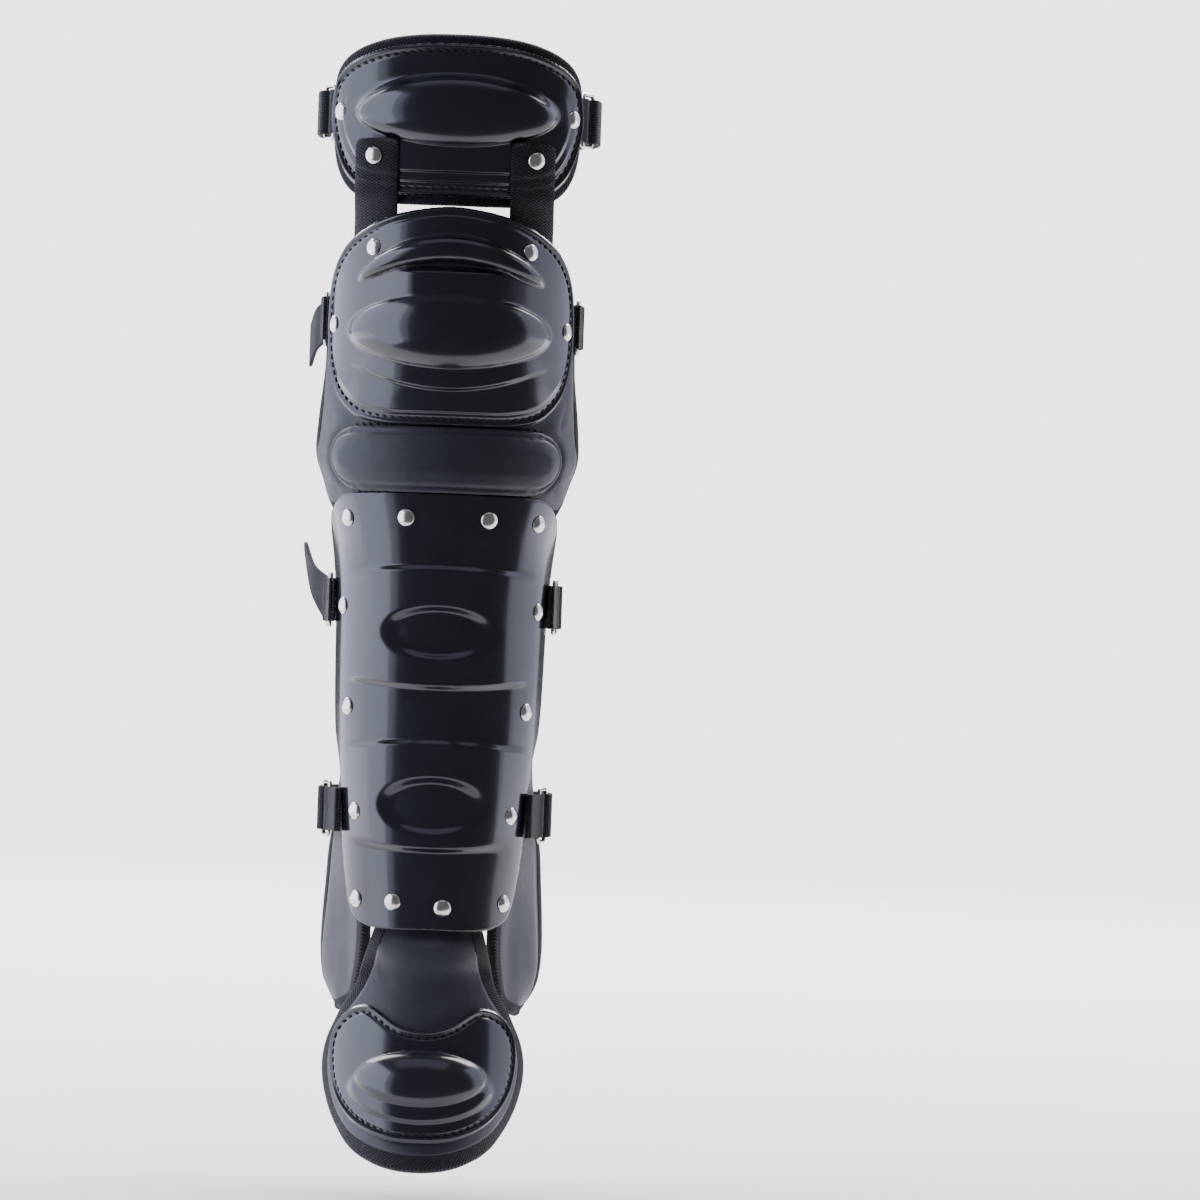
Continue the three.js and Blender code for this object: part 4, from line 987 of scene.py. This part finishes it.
# The back run of a strap: its points, and the power that squares its curve
BACK_SHARES, BACK_ROUND = [0.1, 0.3, 0.5, 0.75, 1], 0.62

for strap_name, level, wrap, start_side, lift, ring_out, ring_back, tail, tail_way in STRAPS:
    halves = []
    for hand, which in HANDS:
        start = wrap.offset(hand * start_side, level + WEB_WIDE / 2, lift)
        start[2] = level
        ring_side = hand * (float(wrap.half(level)) + ring_out)
        middle = np.array([ring_side, start[1] + ring_back, level])
        along = unit(middle - start)
        outwards = level_normal(along) * hand
        place(ring_mesh(f"wire_ring_{strap_name}_{which}", middle, along), nickel_finish,
              "nickel", f"ring_{strap_name}_{which}")
        front_bar, rear_bar = middle - along * BAR_REACH, middle + along * BAR_REACH
        layer = outwards * (TAB_THICK / 2 + 0.15)
        neck, apart = front_bar - along * 4, layer + outwards * 0.5
        tab = [start + layer, neck + apart, *round_bar(front_bar, along, outwards, TAB_TURN),
               neck - apart, start - layer]
        place(band_mesh(f"ring_tab_{strap_name}_{which}", tab, WEB_WIDE, TAB_THICK, 5),
              tab_finish, "webbing", f"tab_{strap_name}_{which}")
        into = rear_bar - outwards * STRAP_TURN
        lead = into + along * 8
        wide, reach_back = abs(lead[0]), STRAP_BACK + KNEE_FRONT - lead[1]
        run = []
        for share in BACK_SHARES:
            angle = share * pi / 2
            run.append(np.array([hand * wide * abs(cos(angle)) ** BACK_ROUND,
                                 lead[1] + reach_back * sin(angle) ** BACK_ROUND, level]))
        inner = [into, lead, *run]
        has_tail = tail_way != 0 and hand < 0
        outer = []
        for index in range(1, 2 if has_tail else 4):
            direction = unit(inner[index + 1] - inner[index - 1])
            outer.append(inner[index] + level_normal(direction) * hand
                         * (STRAP_THICK + STRAP_GAP))
        lap = outer[::-1] + round_bar(rear_bar, -along, outwards, STRAP_TURN)
        if has_tail:
            tip = outer[0] + along * tail * 0.9 + outwards * tail * 0.35
            tip[2] += tail_way * tail * 0.55
            mid = (tip + outer[0]) / 2 + outwards * tail * 0.05
            mid[2] = level + tail_way * tail * 0.2
            lap = [tip, mid, *lap]
        halves.append((lap, inner))
    (left_lap, left_inner), (right_lap, right_inner) = halves
    path = left_lap + left_inner[1:] + right_inner[1:-1][::-1] + right_lap[::-1]
    place(band_mesh(f"elastic_{strap_name}", path, STRAP_WIDE, STRAP_THICK, 8, max(tail_way, 0)),
          elastic_finish, "elastic", f"strap_{strap_name}")

# Rivets: each dome replaces its solid, with the axis taken from the solid's own flat face
RIVET_PROFILE = [
    (0, 0), (5.0, 0), (5.1, 0.35), (5.0, 0.75), (4.5, 1.2), (3.7, 1.7), (2.6, 2.2), (1.3, 2.5),
    (0, 2.6),
]


RIVET_SIDES = 28


def rivet_mesh(name, seat, out):
    out = unit(out)
    helper = np.array([0, 0, 1.0]) if abs(out[2]) < 0.9 else np.array([1.0, 0, 0])
    first = unit(np.cross(helper, out))
    second = np.cross(out, first)
    points = [seat]
    for radius, rise in RIVET_PROFILE[1:-1]:
        for step in range(RIVET_SIDES):
            angle = 2 * pi * step / RIVET_SIDES
            points.append(seat + first * radius * cos(angle)
                          + second * radius * sin(angle) + out * rise)
    points.append(seat + out * RIVET_PROFILE[-1][1])
    faces = grid_faces(len(RIVET_PROFILE) - 2, RIVET_SIDES, 1, close=True)
    last = len(points) - 1
    for step in range(RIVET_SIDES):
        after = (step + 1) % RIVET_SIDES
        faces.append((0, 1 + after, 1 + step))
        faces.append((last, last - RIVET_SIDES + step, last - RIVET_SIDES + after))
    return new_object(name, points, faces)


# What the rivets hold
fastened = []
for name in ("thigh_plate", "knee_plate", "shin_plate", "foot_plate", "web_band_left",
             "web_band_right"):
    mesh = bpy.data.objects[name].data
    fastened.append(BVHTree.FromPolygons([vertex.co for vertex in mesh.vertices],
                                         [polygon.vertices for polygon in mesh.polygons]))


# Where above its solid's seat a rivet is dropped from, how far, and how deep it sinks in
RAY_START, RAY_LENGTH, RIVET_SINK = 9, 16, 0.2


def seat_on(seat, out):
    """The place where a rivet's axis first meets a plate or web, and the way out there."""
    start, best = Vector(seat + out * RAY_START) * mm, None
    for tree in fastened:
        spot, normal, _, gap = tree.ray_cast(start, Vector(-out), RAY_LENGTH * mm)
        if spot is not None and (best is None or gap < best[2]):
            best = (spot, normal, gap)
    if best is None:
        return seat, out
    normal = np.array(best[1])
    normal = normal if normal @ out > 0 else -normal
    return np.array(best[0]) / mm - out * RIVET_SINK, out + normal


for row in frame["record"]["subparts"]:
    node = row["node"]
    if not node.startswith("rivet_"):
        continue
    mesh = bpy.data.objects[node].data
    spots = np.array([vertex.co[:] for vertex in mesh.vertices]) / mm
    centre = spots.mean(0)
    _, _, axes = np.linalg.svd(spots - centre)
    out = axes[2]
    rise = (spots - centre) @ out
    radius = np.linalg.norm((spots - centre) - np.outer(rise, out), axis=1)
    wide = rise[radius > 4.5].mean()
    if wide > rise[radius < 1].mean():
        out, rise = -out, -rise
    seat, out = seat_on(centre + out * rise.min(), out)
    place(rivet_mesh("cap_" + node, seat, out), nickel_finish, "nickel", node)

# Floor and light: two wide soft walls of light at the sides, and a dark room in front
floor_mesh = bpy.data.meshes.new("floor")
# Metres: its front edge, its reach to the sides and back, and its height
near, far, level = -0.28, 4, -0.5
corners = [(-far, near, level), (far, near, level), (far, far, level), (-far, far, level)]
floor_mesh.from_pydata(corners, [], [(0, 1, 2, 3)])
floor = add_object("floor", floor_mesh)
floor_nodes = Nodes("floor_paper")
shade = floor_nodes.ramp(floor_nodes.noise(3, 2), [
    (0.3, (0.86, 0.86, 0.86)), (0.7, (0.89, 0.89, 0.89))])
floor_mesh.materials.append(
    floor_nodes.set(Base_Color=shade, Roughness=0.95, Specular_IOR_Level=0.1))

# The camera sees a pale room, and the guard reflects a dim one
world = bpy.data.worlds.new("studio")
bpy.context.scene.world = world
world.use_nodes = True
tree = world.node_tree
tree.nodes.clear()
output = tree.nodes.new("ShaderNodeOutputWorld")
mix = tree.nodes.new("ShaderNodeMixShader")
path_node = tree.nodes.new("ShaderNodeLightPath")
tree.links.new(path_node.outputs["Is Camera Ray"], mix.inputs["Fac"])
for socket, colour, strength in ((1, (0.9, 0.92, 1, 1), 0.16), (2, (1, 1, 1, 1), 3.2)):
    room = tree.nodes.new("ShaderNodeBackground")
    room.inputs["Color"].default_value = colour
    room.inputs["Strength"].default_value = strength
    tree.links.new(room.outputs["Background"], mix.inputs[socket])
tree.links.new(mix.outputs["Shader"], output.inputs["Surface"])


def soft_light(name, spot, aim, wide, high, radiance, colour=(0.74, 0.78, 1.0)):
    """A rectangle of light; its power follows from how bright it looks."""
    data = bpy.data.lights.new(name, "AREA")
    data.shape, data.size, data.size_y = "RECTANGLE", wide, high
    data.energy, data.color = radiance * pi * wide * high, colour
    lamp = add_object(name, data)
    lamp.location = spot
    direction = Vector(aim) - Vector(spot)
    lamp.rotation_euler = direction.to_track_quat("-Z", "Y").to_euler()


soft_light("left_wall", (-1.5, 0.05, 0.15), (0, 0.05, 0.15), 2.7, 2.6, 4.0)
soft_light("left_fade", (-1.5, -1.5, 0.15), (0, -1.0, 0.15), 0.4, 2.6, 1.5)
soft_light("right_wall", (1.6, 0.65, 0.1), (0, 0.65, 0.1), 1.9, 2.4, 1.8)
soft_light("overhead", (0, -0.5, 1.7), (0, -0.1, 0), 2.0, 1.0, 0.6)
soft_light("rear_top", (0, 2.8, 2.2), (0, 2.2, -0.5), 5.0, 3.6, 10.0, (1, 1, 1))

camera_data = bpy.data.cameras.new("camera")
camera = add_object("camera", camera_data)
# The picture spans frame_size metres of the guard's middle plane
sensor, distance, frame_size, roll = 36, 3.5, 0.69205068, -2.1
camera_data.sensor_width = sensor
camera_data.lens = sensor * distance / frame_size
camera.location = (0.0925, -distance, -0.1586)
camera.rotation_euler = (radians(90), radians(roll), 0)
bpy.context.scene.camera = camera
